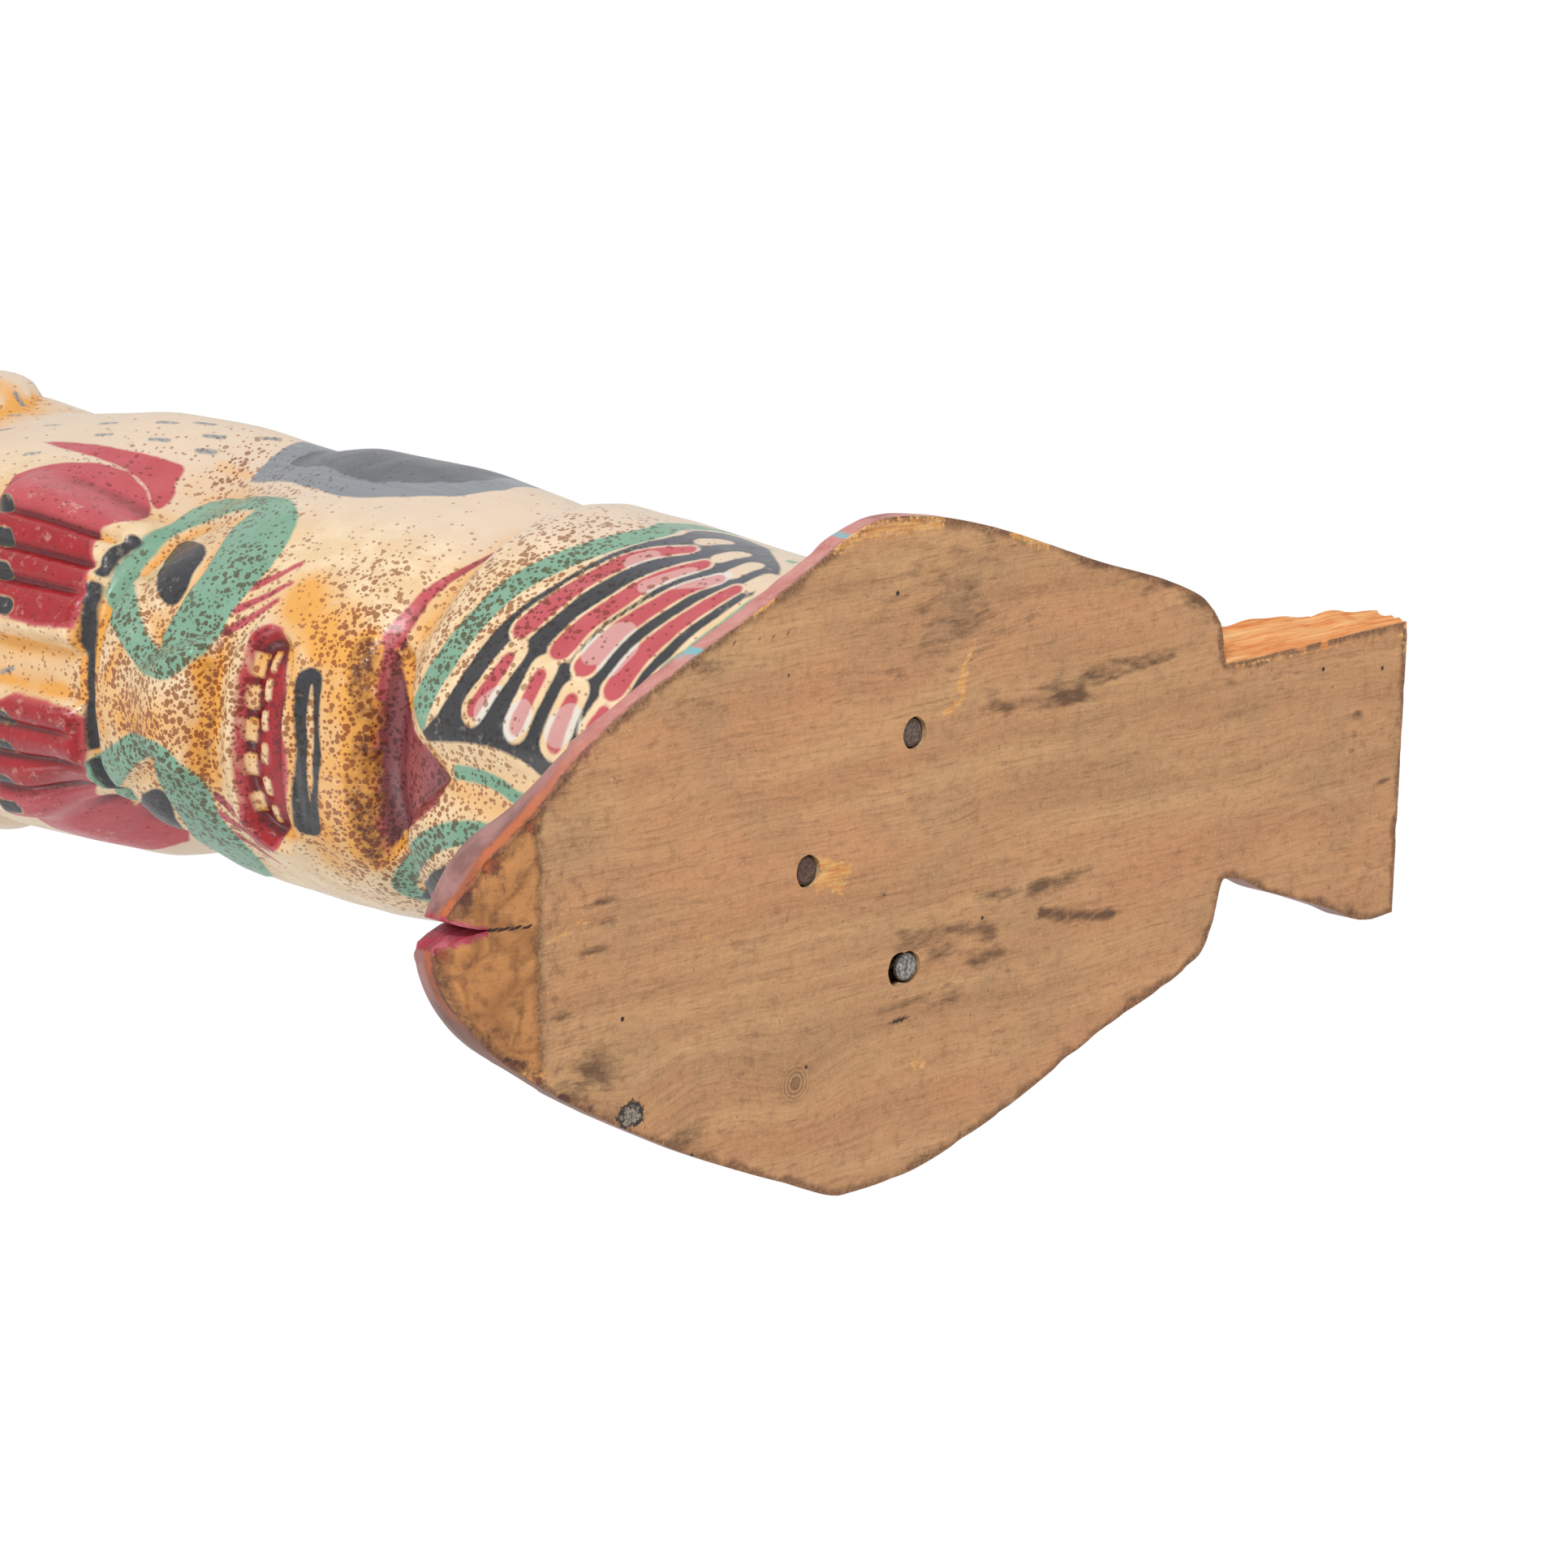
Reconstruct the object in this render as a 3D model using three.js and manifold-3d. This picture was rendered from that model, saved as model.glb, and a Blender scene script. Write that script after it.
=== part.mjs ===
// Carved totem pole standing on a fish-shaped base board, held by three nails from below.
// Millimetres, +Z up the pole, the carved front faces -Y, the origin is on the underside of the board.
import * as THREE from "three";
import { mergeVertices } from "three/addons/utils/BufferGeometryUtils.js";
import Module from "manifold-3d";

const wasm = await Module();
wasm.setup();

// Main sizes; the outline and the carving stretch with them
const boardLength = 358.5;
const poleHeight = 567.7;

// Base board
const boardThickness = 18;
const tailThickness = 13;
const snoutThickness = 16;
const sideEdge = 6;
const snoutEdge = 12;
const tailEdge = 10;
const edgeRoll = 14;
const snoutRoll = 3;
const rollNarrow = -167;
const rollFull = -142;
const bevelRise = 3.5;
const bevelStart = -157;
const tipRise = 4.5;
const tipLength = 7;
const neckY = 98.5;
const neckCorners = [-10.5, -7.5, -5, -2.5];
const tipCorners = [1, 3, 6.5, 12];
const boardStep = 12;
const notchX = 0.4;
const notchShape = [[-4, 5], [0, 4], [4.5, 1.9], [9, 0.6], [12, 0]];
const tailSkew = 0.048;
const breakX = 27;
const breakSlantNeck = 9.5;
const breakSlantEnd = 3;
const breakWaves = [[1.1, 0.21, 0], [0.6, 0.37, 1]];

// Outline of the underside, snout to tail: place along Y, then the edge's X
const leftEdge = [
  [-183.5, -9.5], [-182.5, -13], [-180.5, -18], [-177, -23.7], [-170.5, -31], [-160, -39.2], [-147, -47.8],
  [-136, -54.1], [-121, -62], [-105, -70], [-72, -84], [-50, -91.6], [-30, -90.8], [0, -84], [50, -66],
  [88, -53], [93, -47], [98.5, -32.9], [106, -34.4], [117, -39.5], [131, -44.1], [149, -50.5], [161.5, -55.3],
  [167, -55.8], [175, -55.3],
];
const rightEdge = [
  [-183.5, -3], [-182, 1], [-180, 5.5], [-177.5, 10], [-171.5, 17], [-163, 23], [-155, 29], [-146, 36.5],
  [-137.5, 42.3], [-122.5, 50], [-105.5, 57.2], [-76, 69], [-60, 76.2], [-44, 83], [-34, 84.6], [-18, 82.8],
  [0, 78.6], [44, 63.4], [86, 48.5], [95.5, 39], [98.5, breakX], [175, breakX + 1.5],
];
const tipY = leftEdge[0][0];
const tailY = leftEdge[leftEdge.length - 1][0];

// Pole
const poleX = 2.5;
const poleY = -8;
const domeHeight = 50;
const arcRadius = 66;
const backDepth = 56;
const ringTilt = 5;
const tiltFrom = 110;
const tiltFull = 150;
const tiltFading = 290;
const tiltEnd = 330;
const poleGap = 0.3;
const columns = 52;
const columnCrowding = 0.45;

// Radius of the pole in front, at the cheek and at the side, from the foot to the top
const frontProfile = [
  [18, 62], [62, 64], [100, 67.5], [132, 66], [152, 61], [161, 56.5], [165, 58], [172, 64.5], [184, 66.5],
  [205, 67.5], [224, 67], [240, 68], [262, 67.5], [278, 65.5], [285, 60], [292, 61], [345, 61], [390, 65],
  [430, 63], [470, 60], [480, 57], [488, 60], [512, 64], [550, 62],
];
const cheekProfile = [
  [18, 57], [62, 59], [100, 63], [132, 64.5], [150, 61.5], [160, 57], [167, 58], [180, 61], [205, 62],
  [222, 61.5], [240, 61], [252, 59.5], [262, 58], [272, 55.5], [281, 52.5], [290, 51], [300, 52], [310, 55.5],
  [322, 60], [340, 63], [365, 63.5], [400, 61], [430, 62], [470, 60], [480, 56.5], [490, 60], [520, 62],
  [550, 60],
];
const sideProfile = [
  [18, 54], [72, 56], [104, 59], [128, 60.8], [143, 61.5], [152, 58], [160, 59.8], [184, 64.5], [219, 67.9],
  [246, 68.2], [264, 66.2], [270, 64.8], [278, 65.8], [314, 68.6], [333, 68.8], [360, 65.8], [383, 63.5],
  [395, 65], [407, 66], [440, 65], [470, 62.5], [480, 58], [492, 61], [520, 63], [550, 61],
];

// Spacing of the carving's rows: up to each height, rows this far apart
const rowBands = [[60, 14], [115, 13.7], [172, 5.7], [290, 5.6], [350, 8.6], [426, 12.7], [550, 7.3]];
const domeRows = 7;
const domeFullness = 0.75;

// Wings and V collar
const wingFrontAngle = 7;
const wingBackAngle = 116;
const wingBottom = 46;
const wingTop = 149;
const wingRise = 3.2;
const collarDepth = 4;
const collarHalfWidth = 33;
const collarTip = 126;
const collarTop = 162;

// Feet of the lower figure
const footAngle = 27;
const footHalfWidth = 19;
const footTop = 42;
const footRise = 9;
const toePitch = 12;

// Face of the lower figure; places are millimetres round the front and heights
const faceAxis = 2.8;
const eyeU = 39;
const eyeZ = 259;
const socketDepth = 5.5;
const browRise = 2.6;
const eyeballRise = 4.5;
const noseTop = 268;
const noseBottom = 230;
const noseHalfWidth = 20;
const noseRise = 7;
const mouthU = -3;
const mouthZ = 204;
const mouthHalfWidth = 33;
const mouthHalfHeight = 11;
const mouthDepth = 4.5;
const lipRise = 1.6;

// Feet of the upper figure
const pawGap = 4;
const pawInner = 9;
const pawOuter = 62;
const pawBottom = 289.5;
const pawTop = 347;
const pawRise = 7.5;
const pawDigits = 4;
const digitGroove = 1.9;

// Hollow beside the left paw, where the upper figure's flank was cut back
const flankU = -78;
const flankZ = 300;
const flankHalfWidth = 46;
const flankHalfHeight = 24;
const flankDepth = 8;

// Hollow at the left temple of the lower face
const templeU = -66;
const templeZ = 266;
const templeHalfWidth = 18;
const templeHalfHeight = 15;
const templeDepth = 3;
const hollowRim = 0.4;

// Arms, hands and face of the upper figure
const shoulderU = 97;
const shoulderZ = 478;
const elbowU = 105;
const elbowZ = 416;
const upperArmRadius = 17;
const forearmRadius = 13;
const armRise = 8;
const handU = 24;
const handZ = 452;
const handRadius = 15;
const handRise = 10;
const muzzleZ = 512;
const muzzleHalfWidth = 34;
const muzzleHalfHeight = 23;
const muzzleRise = 13;
const upperMouthZ = 503;
const upperMouthHalfWidth = 24;
const upperMouthHalfHeight = 6;
const upperEyeU = 37;
const upperEyeZ = 540;
const upperEyeShare = 0.8;
const earAngle = 72;
const earClimb = 38;
const earHeight = 14;

// Nails: place of the head, how far it is driven in, and the worn hole beside it
const nailHeadRadius = 3.8;
const nailHeadThickness = 1.8;
const nailShankRadius = 1.7;
const nailLength = 52;
const nailPoint = 5;
const nailClearance = 0.3;
const nailSides = 12;
const nails = [
  { name: "nail_right", x: 27, y: -25, sunk: 0.6, wear: 0 },
  { name: "nail_front", x: -3, y: -64, sunk: 0.5, wear: 0 },
  { name: "nail_left", x: -35, y: -27, sunk: 0.2, wear: 3.2 },
];
const wornHoleRadius = 4.5;

const degrees = Math.PI / 180;

function smooth(low, high, x) {
  const t = Math.min(1, Math.max(0, (x - low) / (high - low)));
  return t * t * (3 - 2 * t);
}

// Smooth curve through a table of places and values
function along(table, x) {
  const last = table.length - 1;
  if (x <= table[0][0]) return table[0][1];
  if (x >= table[last][0]) return table[last][1];
  let i = 0;
  while (x > table[i + 1][0]) i += 1;
  const slope = (a, b) => (table[b][1] - table[a][1]) / (table[b][0] - table[a][0]);
  const tangent = (k) => {
    if (k === 0 || k === last) return 0;
    const before = slope(k - 1, k);
    const after = slope(k, k + 1);
    return before * after <= 0 ? 0 : (2 * before * after) / (before + after);
  };
  const span = table[i + 1][0] - table[i][0];
  const t = (x - table[i][0]) / span;
  const rise = table[i + 1][1] - table[i][1];
  const startPull = tangent(i) * span;
  const endPull = tangent(i + 1) * span;
  return (
    table[i][1] + t * startPull + t * t * (3 * rise - 2 * startPull - endPull)
    + t * t * t * (startPull + endPull - 2 * rise)
  );
}

// 1 inside an oval, falling to 0 over the soft rim
function oval(u, z, centreU, centreZ, halfU, halfZ, rim = 0.35) {
  const d = Math.hypot((u - centreU) / halfU, (z - centreZ) / halfZ);
  return 1 - smooth(1 - rim, 1 + rim, d);
}

// Distance to a line segment
function segmentDistance(u, z, u0, z0, u1, z1) {
  const du = u1 - u0;
  const dz = z1 - z0;
  const t = Math.min(1, Math.max(0, ((u - u0) * du + (z - z0) * dz) / (du * du + dz * dz)));
  return Math.hypot(u - u0 - t * du, z - z0 - t * dz);
}

// Rounded limb laid on the surface
function limb(distance, radius) {
  return Math.sqrt(Math.max(0, 1 - (distance / radius) ** 2));
}

function wings(angle, u, z) {
  const turn = Math.abs(angle) / degrees;
  const inside = smooth(wingFrontAngle - 4, wingFrontAngle + 5, turn)
    * (1 - smooth(wingBackAngle - 8, wingBackAngle + 4, turn));
  const upright = smooth(wingBottom - 5, wingBottom + 5, z) * (1 - smooth(wingTop - 6, wingTop + 6, z));
  const vHalfWidth = (collarHalfWidth * (z - collarTip)) / (collarTop - collarTip);
  const collar = z < collarTop + 4 ? 1 - smooth(vHalfWidth - 3, vHalfWidth + 3, Math.abs(u)) : 0;
  return wingRise * inside * upright - collarDepth * collar * smooth(collarTip - 6, collarTip, z);
}

function lowerFeet(u, z) {
  const foot = Math.abs(u) - footAngle * degrees * arcRadius;
  const pad = (1 - smooth(footHalfWidth - 3, footHalfWidth + 3, Math.abs(foot)))
    * (1 - smooth(footTop - 5, footTop + 5, z));
  const toe = 0.8 + 0.2 * Math.cos((2 * Math.PI * foot) / toePitch);
  return footRise * pad * toe;
}

function eyes(side, z, centreU, centreZ, share) {
  const lean = (side - centreU) * 0.28;
  const socket = oval(side, z + lean, centreU, centreZ - 2, 27 * share, 17 * share, 0.3);
  const ball = oval(side, z + lean, centreU, centreZ, 15 * share, 10 * share, 0.45);
  const brow = oval(side, z + lean, centreU, centreZ - 2, 34 * share, 24 * share, 0.2) - socket;
  return browRise * Math.max(0, brow) - socketDepth * socket + eyeballRise * ball;
}

function lowerFace(u, z) {
  const side = Math.abs(u - faceAxis);
  const wedge = (noseTop - z) / (noseTop - noseBottom);
  const halfWidth = 6 + (noseHalfWidth - 6) * Math.max(0, wedge);
  const nose = wedge > 0 && wedge < 1.4
    ? smooth(0, 0.8, wedge) * (1 - smooth(1, 1.12, wedge)) * (1 - smooth(halfWidth - 5, halfWidth + 4, side))
    : 0;
  const straight = mouthHalfWidth - mouthHalfHeight;
  const edge = segmentDistance(u - mouthU, z, -straight, mouthZ, straight, mouthZ) - mouthHalfHeight;
  const mouth = 1 - smooth(-3.5, 0.5, edge);
  const lip = (1 - smooth(1.5, 6, edge)) * (1 - mouth);
  return noseRise * nose - mouthDepth * mouth + lipRise * lip + eyes(side, z, eyeU, eyeZ, 1);
}

function paws(u, z) {
  const inward = Math.abs(u - pawGap);
  const rim = smooth(pawInner - 3, pawInner + 3, inward) * (1 - smooth(pawOuter - 12, pawOuter + 4, inward));
  const upright = smooth(pawBottom - 4, pawBottom + 3, z) * (1 - smooth(pawTop - 7, pawTop + 4, z));
  const digit = ((inward - pawInner) / (pawOuter - pawInner)) * pawDigits;
  const groove = 0.5 + 0.5 * Math.cos(2 * Math.PI * digit);
  return rim * upright * (pawRise - digitGroove * groove * smooth(pawBottom, pawBottom + 14, z));
}

function arms(u, z) {
  const side = Math.abs(u);
  const upper = limb(segmentDistance(side, z, shoulderU, shoulderZ, elbowU, elbowZ), upperArmRadius);
  const fore = limb(segmentDistance(side, z, elbowU, elbowZ, handU, handZ), forearmRadius);
  const hand = limb(Math.hypot(side - handU, (z - handZ) * 0.85), handRadius);
  const finger = 1 - 0.18 * (0.5 + 0.5 * Math.cos((2 * Math.PI * (side - handU)) / (handRadius / 2)));
  return Math.max(armRise * Math.max(upper, fore), handRise * hand * finger);
}

function upperFace(u, z) {
  const muzzle = oval(u, z, 0, muzzleZ, muzzleHalfWidth, muzzleHalfHeight, 0.35);
  const straight = upperMouthHalfWidth - upperMouthHalfHeight;
  const edge = segmentDistance(u, z, -straight, upperMouthZ, straight, upperMouthZ) - upperMouthHalfHeight;
  const mouth = 1 - smooth(-3, 1, edge);
  const nostrils = oval(u, z, 0, muzzleZ + 14, 14, 7, 0.4);
  return muzzleRise * muzzle - mouthDepth * mouth + 4 * nostrils + eyes(Math.abs(u), z, upperEyeU, upperEyeZ, upperEyeShare);
}

// Distance from the pole's axis to its surface
function poleRadius(angle, z) {
  const turn = Math.abs(angle) / degrees;
  const u = angle * arcRadius;
  const tilted = smooth(tiltFrom, tiltFull, z) * (1 - smooth(tiltFading, tiltEnd, z));
  const height = z + ringTilt * Math.sin(angle) * tilted;
  const cheek = smooth(12, 62, turn);
  const side = smooth(72, 104, turn);
  const front = along(frontProfile, height);
  const middle = along(cheekProfile, height);
  const round = THREE.MathUtils.lerp(THREE.MathUtils.lerp(front, middle, cheek), along(sideProfile, height), side);
  const flank = flankDepth * oval(u, z, flankU, flankZ, flankHalfWidth, flankHalfHeight, hollowRim);
  const temple = templeDepth * oval(u, z, templeU, templeZ, templeHalfWidth, templeHalfHeight, hollowRim);
  const relief = wings(angle, u, height) + lowerFeet(u, z) + lowerFace(u, height) + paws(u, z)
    + arms(u, z) + upperFace(u, z) - flank - temple;
  const radius = round + relief;
  const flat = backDepth / Math.max(0.05, -Math.cos(angle));
  const soft = 4;
  const meet = Math.max(0, soft - Math.abs(radius - flat)) / soft;
  return turn > 95 ? Math.min(radius, flat) - (meet * meet * soft) / 4 : radius;
}

function rowHeights() {
  const heights = [];
  let from = boardThickness + poleGap;
  for (const [to, step] of rowBands) {
    const count = Math.round((to - from) / step);
    for (let i = 0; i < count; i += 1) heights.push(from + ((to - from) * i) / count);
    from = to;
  }
  heights.push(from);
  return heights;
}

function poleGeometry() {
  const rings = [];
  const angles = Array.from({ length: columns }, (_, j) => {
    const w = -Math.PI + (2 * Math.PI * j) / columns;
    return w - columnCrowding * Math.sin(w);
  });
  const heights = rowHeights();
  const foot = heights[0];
  const domeStart = heights[heights.length - 1];
  const crown = domeStart + domeHeight - earHeight;
  const stretch = poleHeight / (crown - foot);
  const place = (angle, radius, z) => [
    poleX + radius * Math.sin(angle), poleY - radius * Math.cos(angle), foot + (z - foot) * stretch,
  ];
  for (const z of heights) rings.push(angles.map((a) => place(a, poleRadius(a, z), z)));
  for (let k = 1; k < domeRows; k += 1) {
    const climb = (k / domeRows) * (Math.PI / 2);
    rings.push(angles.map((a) => {
      const ear = oval(Math.abs(a) / degrees, climb / degrees, earAngle, earClimb, 24, 28, 0.4);
      const z = domeStart + (domeHeight - earHeight) * Math.sin(climb) + earHeight * ear;
      return place(a, poleRadius(a, domeStart) * Math.cos(climb) ** domeFullness, z);
    }));
  }
  return closedRings(rings, place(0, 0, foot), place(0, 0, crown));
}

// Closed solid from rings of points and a point at either end
function closedRings(rings, start, end) {
  const around = rings[0].length;
  const positions = rings.flat(2);
  const startIndex = rings.length * around;
  positions.push(...start, ...end);
  const index = [];
  for (let i = 0; i < rings.length - 1; i += 1) {
    for (let j = 0; j < around; j += 1) {
      const a = i * around + j;
      const b = i * around + ((j + 1) % around);
      index.push(a, b, b + around, a, b + around, a + around);
    }
  }
  for (let j = 0; j < around; j += 1) {
    const next = (j + 1) % around;
    const top = (rings.length - 1) * around;
    index.push(startIndex, next, j, startIndex + 1, top + j, top + next);
  }
  const geometry = new THREE.BufferGeometry();
  geometry.setAttribute("position", new THREE.Float32BufferAttribute(positions, 3));
  geometry.setIndex(index);
  return geometry;
}

function boardGeometry() {
  const ends = [tipY, neckY, tailY];
  const stations = [];
  for (let k = 0; k < ends.length - 1; k += 1) {
    const count = Math.round((ends[k + 1] - ends[k]) / boardStep);
    for (let i = 0; i < count; i += 1) stations.push(ends[k] + ((ends[k + 1] - ends[k]) * i) / count);
  }
  stations.push(tailY, ...tipCorners.map((d) => tipY + d), ...neckCorners.map((d) => neckY + d));
  stations.sort((a, b) => a - b);
  const rollSteps = [0, 0.12, 0.35, 0.65, 1];
  const rings = stations.map((y) => boardSection(y, rollSteps));
  const middle = (ring) => ring.reduce((sum, p) => sum.map((v, i) => v + p[i] / ring.length), [0, 0, 0]);
  return closedRings(rings, middle(rings[0]), middle(rings[rings.length - 1]));
}

// One section across the board: down the right edge, under the board and up the left edge
function boardSection(y, rollSteps) {
  const left = along(leftEdge, y);
  const right = along(rightEdge, y);
  const tail = smooth(neckY - 12, neckY + 6, y);
  const snout = 1 - smooth(tipY, bevelStart, y);
  const narrow = 1 - smooth(rollNarrow, rollFull, y);
  const mix = THREE.MathUtils.lerp;
  const thickness = mix(mix(boardThickness, snoutThickness, snout), tailThickness, tail);
  const edge = mix(mix(sideEdge, snoutEdge, snout), tailEdge, tail);
  const bevel = bevelRise * Math.max(0, (bevelStart - y) / (bevelStart - tipY));
  const bottom = bevel + tipRise * (1 - smooth(tipY, tipY + tipLength, y));
  const broken = smooth(neckY - 2, neckY + 1, y);
  const jag = breakWaves.reduce((sum, [size, rate, shift]) => sum + size * Math.sin(y * rate + shift), 0);
  const along01 = (y - neckY) / (tailY - neckY);
  const slant = broken * (mix(breakSlantNeck, breakSlantEnd, along01) + jag);
  const roll = Math.min(mix(edgeRoll, snoutRoll, narrow), (right - left) * 0.45);
  const skew = tailSkew * smooth(neckY, tailY, y);
  const point = (x, z) => [x, y + skew * x, z];
  const ring = [point(left, bottom), point(right, bottom)];
  for (const step of rollSteps) {
    const z = mix(mix(edge, thickness, Math.sin((step * Math.PI) / 2)), thickness, broken);
    ring.push(point(right + slant - roll * step, z));
  }
  for (const step of [...rollSteps].reverse()) {
    ring.push(point(left + roll * step, mix(edge, thickness, Math.sin((step * Math.PI) / 2))));
  }
  return ring.reverse();
}

function notchGeometry() {
  const side = (way) => notchShape.map(([d, half]) => new THREE.Vector2(notchX + way * half, tipY + d));
  const shape = new THREE.Shape([...side(-1), ...side(1).slice(0, -1).reverse()].reverse());
  const geometry = new THREE.ExtrudeGeometry(shape, { depth: boardThickness + 4, bevelEnabled: false });
  return geometry.translate(0, 0, -2);
}

function rod(radius, from, to, x, y) {
  const geometry = new THREE.CylinderGeometry(radius, radius, to - from, nailSides);
  return geometry.rotateX(Math.PI / 2).translate(x, y, (from + to) / 2);
}

// Nail with a flat round head, from its head up to its point
function nailGeometry({ x, y, sunk }) {
  const top = sunk + nailLength;
  const profile = [
    [0, sunk], [nailHeadRadius * 0.7, sunk], [nailHeadRadius, sunk + 0.5],
    [nailHeadRadius, sunk + nailHeadThickness], [nailShankRadius, sunk + nailHeadThickness],
    [nailShankRadius, top - nailPoint], [0, top],
  ].map(([r, z]) => new THREE.Vector2(r, z));
  return new THREE.LatheGeometry(profile, nailSides).rotateX(Math.PI / 2).translate(x, y, 0);
}

// Room that a nail needs: its shank, its head and the worn hole beside the loose one
function nailRoom({ x, y, sunk, wear }) {
  const shank = rod(nailShankRadius + nailClearance, -1, sunk + nailLength + nailClearance, x, y);
  const headTop = sunk + nailHeadThickness + nailClearance;
  const head = rod(nailHeadRadius + nailClearance, -1, headTop, x, y);
  const room = solid(shank).add(solid(head));
  return wear > 0 ? room.add(solid(rod(wornHoleRadius, -1, headTop + 3, x, y - wear))) : room;
}

function solid(geometry) {
  const bare = geometry.clone();
  bare.deleteAttribute("normal");
  bare.deleteAttribute("uv");
  const merged = mergeVertices(bare, 1e-4);
  return new wasm.Manifold(new wasm.Mesh({
    numProp: 3,
    vertProperties: new Float32Array(merged.attributes.position.array),
    triVerts: new Uint32Array(merged.index.array),
  }));
}

function fromSolid(shape) {
  const mesh = shape.getMesh();
  const geometry = new THREE.BufferGeometry();
  geometry.setAttribute("position", new THREE.BufferAttribute(mesh.vertProperties, 3));
  geometry.setIndex(new THREE.BufferAttribute(mesh.triVerts, 1));
  geometry.computeVertexNormals();
  return geometry;
}

function named(name, geometry, colour, roughness, metalness = 0) {
  const mesh = new THREE.Mesh(geometry, new THREE.MeshStandardMaterial({ color: colour, roughness, metalness }));
  mesh.name = name;
  return mesh;
}

const nailRooms = nails.map(nailRoom);
const cutAway = (shape) => nailRooms.reduce((rest, room) => rest.subtract(room), shape);

const group = new THREE.Group();
group.add(named("pole", fromSolid(cutAway(solid(poleGeometry()))), 0xe8cc9c, 0.35));
const boardStretch = boardLength / (tailY - tipY);
const lengthened = (geometry) => solid(geometry.scale(1, boardStretch, 1));
const board = lengthened(boardGeometry()).subtract(lengthened(notchGeometry()));
group.add(named("base_board", fromSolid(cutAway(board)), 0xb78a5c, 0.75));
for (const nail of nails) group.add(named(nail.name, nailGeometry(nail), 0x8d8984, 0.45, 0.9));

export default group;
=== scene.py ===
# %% [markdown]
# A carved and painted wooden totem pole stands on a fish-shaped base board, and we look at it from below.
# Everything sits in one frame, in metres: Z runs up the pole, the carved faces look along -Y.
# We load the solid model first, because every fine piece made here has to lie inside its box.

# %% Load the solid model
import math

import bpy
import numpy as np
from mathutils import Matrix, Vector, noise


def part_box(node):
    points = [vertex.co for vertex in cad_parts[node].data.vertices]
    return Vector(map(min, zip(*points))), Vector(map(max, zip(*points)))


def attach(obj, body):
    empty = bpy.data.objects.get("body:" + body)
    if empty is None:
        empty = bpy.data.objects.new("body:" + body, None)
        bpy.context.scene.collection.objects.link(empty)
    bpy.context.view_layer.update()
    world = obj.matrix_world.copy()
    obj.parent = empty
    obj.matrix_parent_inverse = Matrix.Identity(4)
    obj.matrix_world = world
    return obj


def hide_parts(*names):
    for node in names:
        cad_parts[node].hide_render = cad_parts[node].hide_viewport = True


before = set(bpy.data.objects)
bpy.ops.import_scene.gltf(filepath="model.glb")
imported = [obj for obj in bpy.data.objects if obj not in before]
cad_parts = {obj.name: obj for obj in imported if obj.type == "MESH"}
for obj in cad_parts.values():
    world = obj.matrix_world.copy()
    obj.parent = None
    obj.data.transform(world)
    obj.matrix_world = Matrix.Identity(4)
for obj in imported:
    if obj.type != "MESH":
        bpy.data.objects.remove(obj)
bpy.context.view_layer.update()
MM = 0.001

# %% [markdown]
# The camera is set the way a surveyor would: we say which pixel shows the pole's foot, how many pixels a
# millimetre takes there, and which way the view runs. The pole lies across the picture, so +X is up in it.
# The same numbers turn a pixel into a line of sight, and later we follow such lines to the surface to find
# where each painted shape sits. That is safer than guessing a place in millimetres.

# %% Camera and lines of sight
PICTURE = 1932
FOCAL_PIXELS = 7000.0
PIXELS_PER_MM = 4.7
FOOT_PIXEL = (1208, 1010)
PITCH = math.radians(12.7)
SWING = math.radians(45.0)
VIEW_LEVEL = np.array([0.0, math.cos(SWING), math.sin(SWING)])
VIEW_RIGHT = np.array([0.0, math.sin(SWING), -math.cos(SWING)])
PLUS_X = np.array([1.0, 0.0, 0.0])
VIEW_AHEAD = math.cos(PITCH) * VIEW_LEVEL - math.sin(PITCH) * PLUS_X
VIEW_UP = math.sin(PITCH) * VIEW_LEVEL + math.cos(PITCH) * PLUS_X


def sight_lines(pixels):
    p = (np.atleast_2d(np.array(pixels, float)) - PICTURE / 2) / FOCAL_PIXELS
    lines = VIEW_AHEAD + p[:, :1] * VIEW_RIGHT - p[:, 1:] * VIEW_UP
    return lines / np.linalg.norm(lines, axis=1)[:, None]


foot_offset = (np.array(FOOT_PIXEL, float) - PICTURE / 2) / FOCAL_PIXELS
foot_depth = FOCAL_PIXELS / PIXELS_PER_MM
eye = -foot_depth * (VIEW_AHEAD + foot_offset[0] * VIEW_RIGHT - foot_offset[1] * VIEW_UP)

camera_data = bpy.data.cameras.new("camera")
camera_data.sensor_width = 36.0
camera_data.lens = FOCAL_PIXELS * camera_data.sensor_width / PICTURE
camera_data.clip_end = 20.0
camera = bpy.data.objects.new("camera", camera_data)
bpy.context.scene.collection.objects.link(camera)
turned = Matrix((VIEW_RIGHT, VIEW_UP, -VIEW_AHEAD)).transposed().to_4x4()
camera.matrix_world = Matrix.Translation(Vector(eye * MM)) @ turned
bpy.context.scene.camera = camera
print("camera at", [round(c, 3) for c in camera.location], "lens", round(camera_data.lens, 1))

# %% [markdown]
# The pole is one log. A carver starts from a round section and changes its radius: narrow at the necks,
# wide at the cheeks. So we write the surface as a radius for each direction and height. Three profiles,
# read in front, at the cheek and at the side, give the log's form, and small functions add the relief.
# A formula like this can be sampled as finely as we like, which a sculpted mesh can't.

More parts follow.
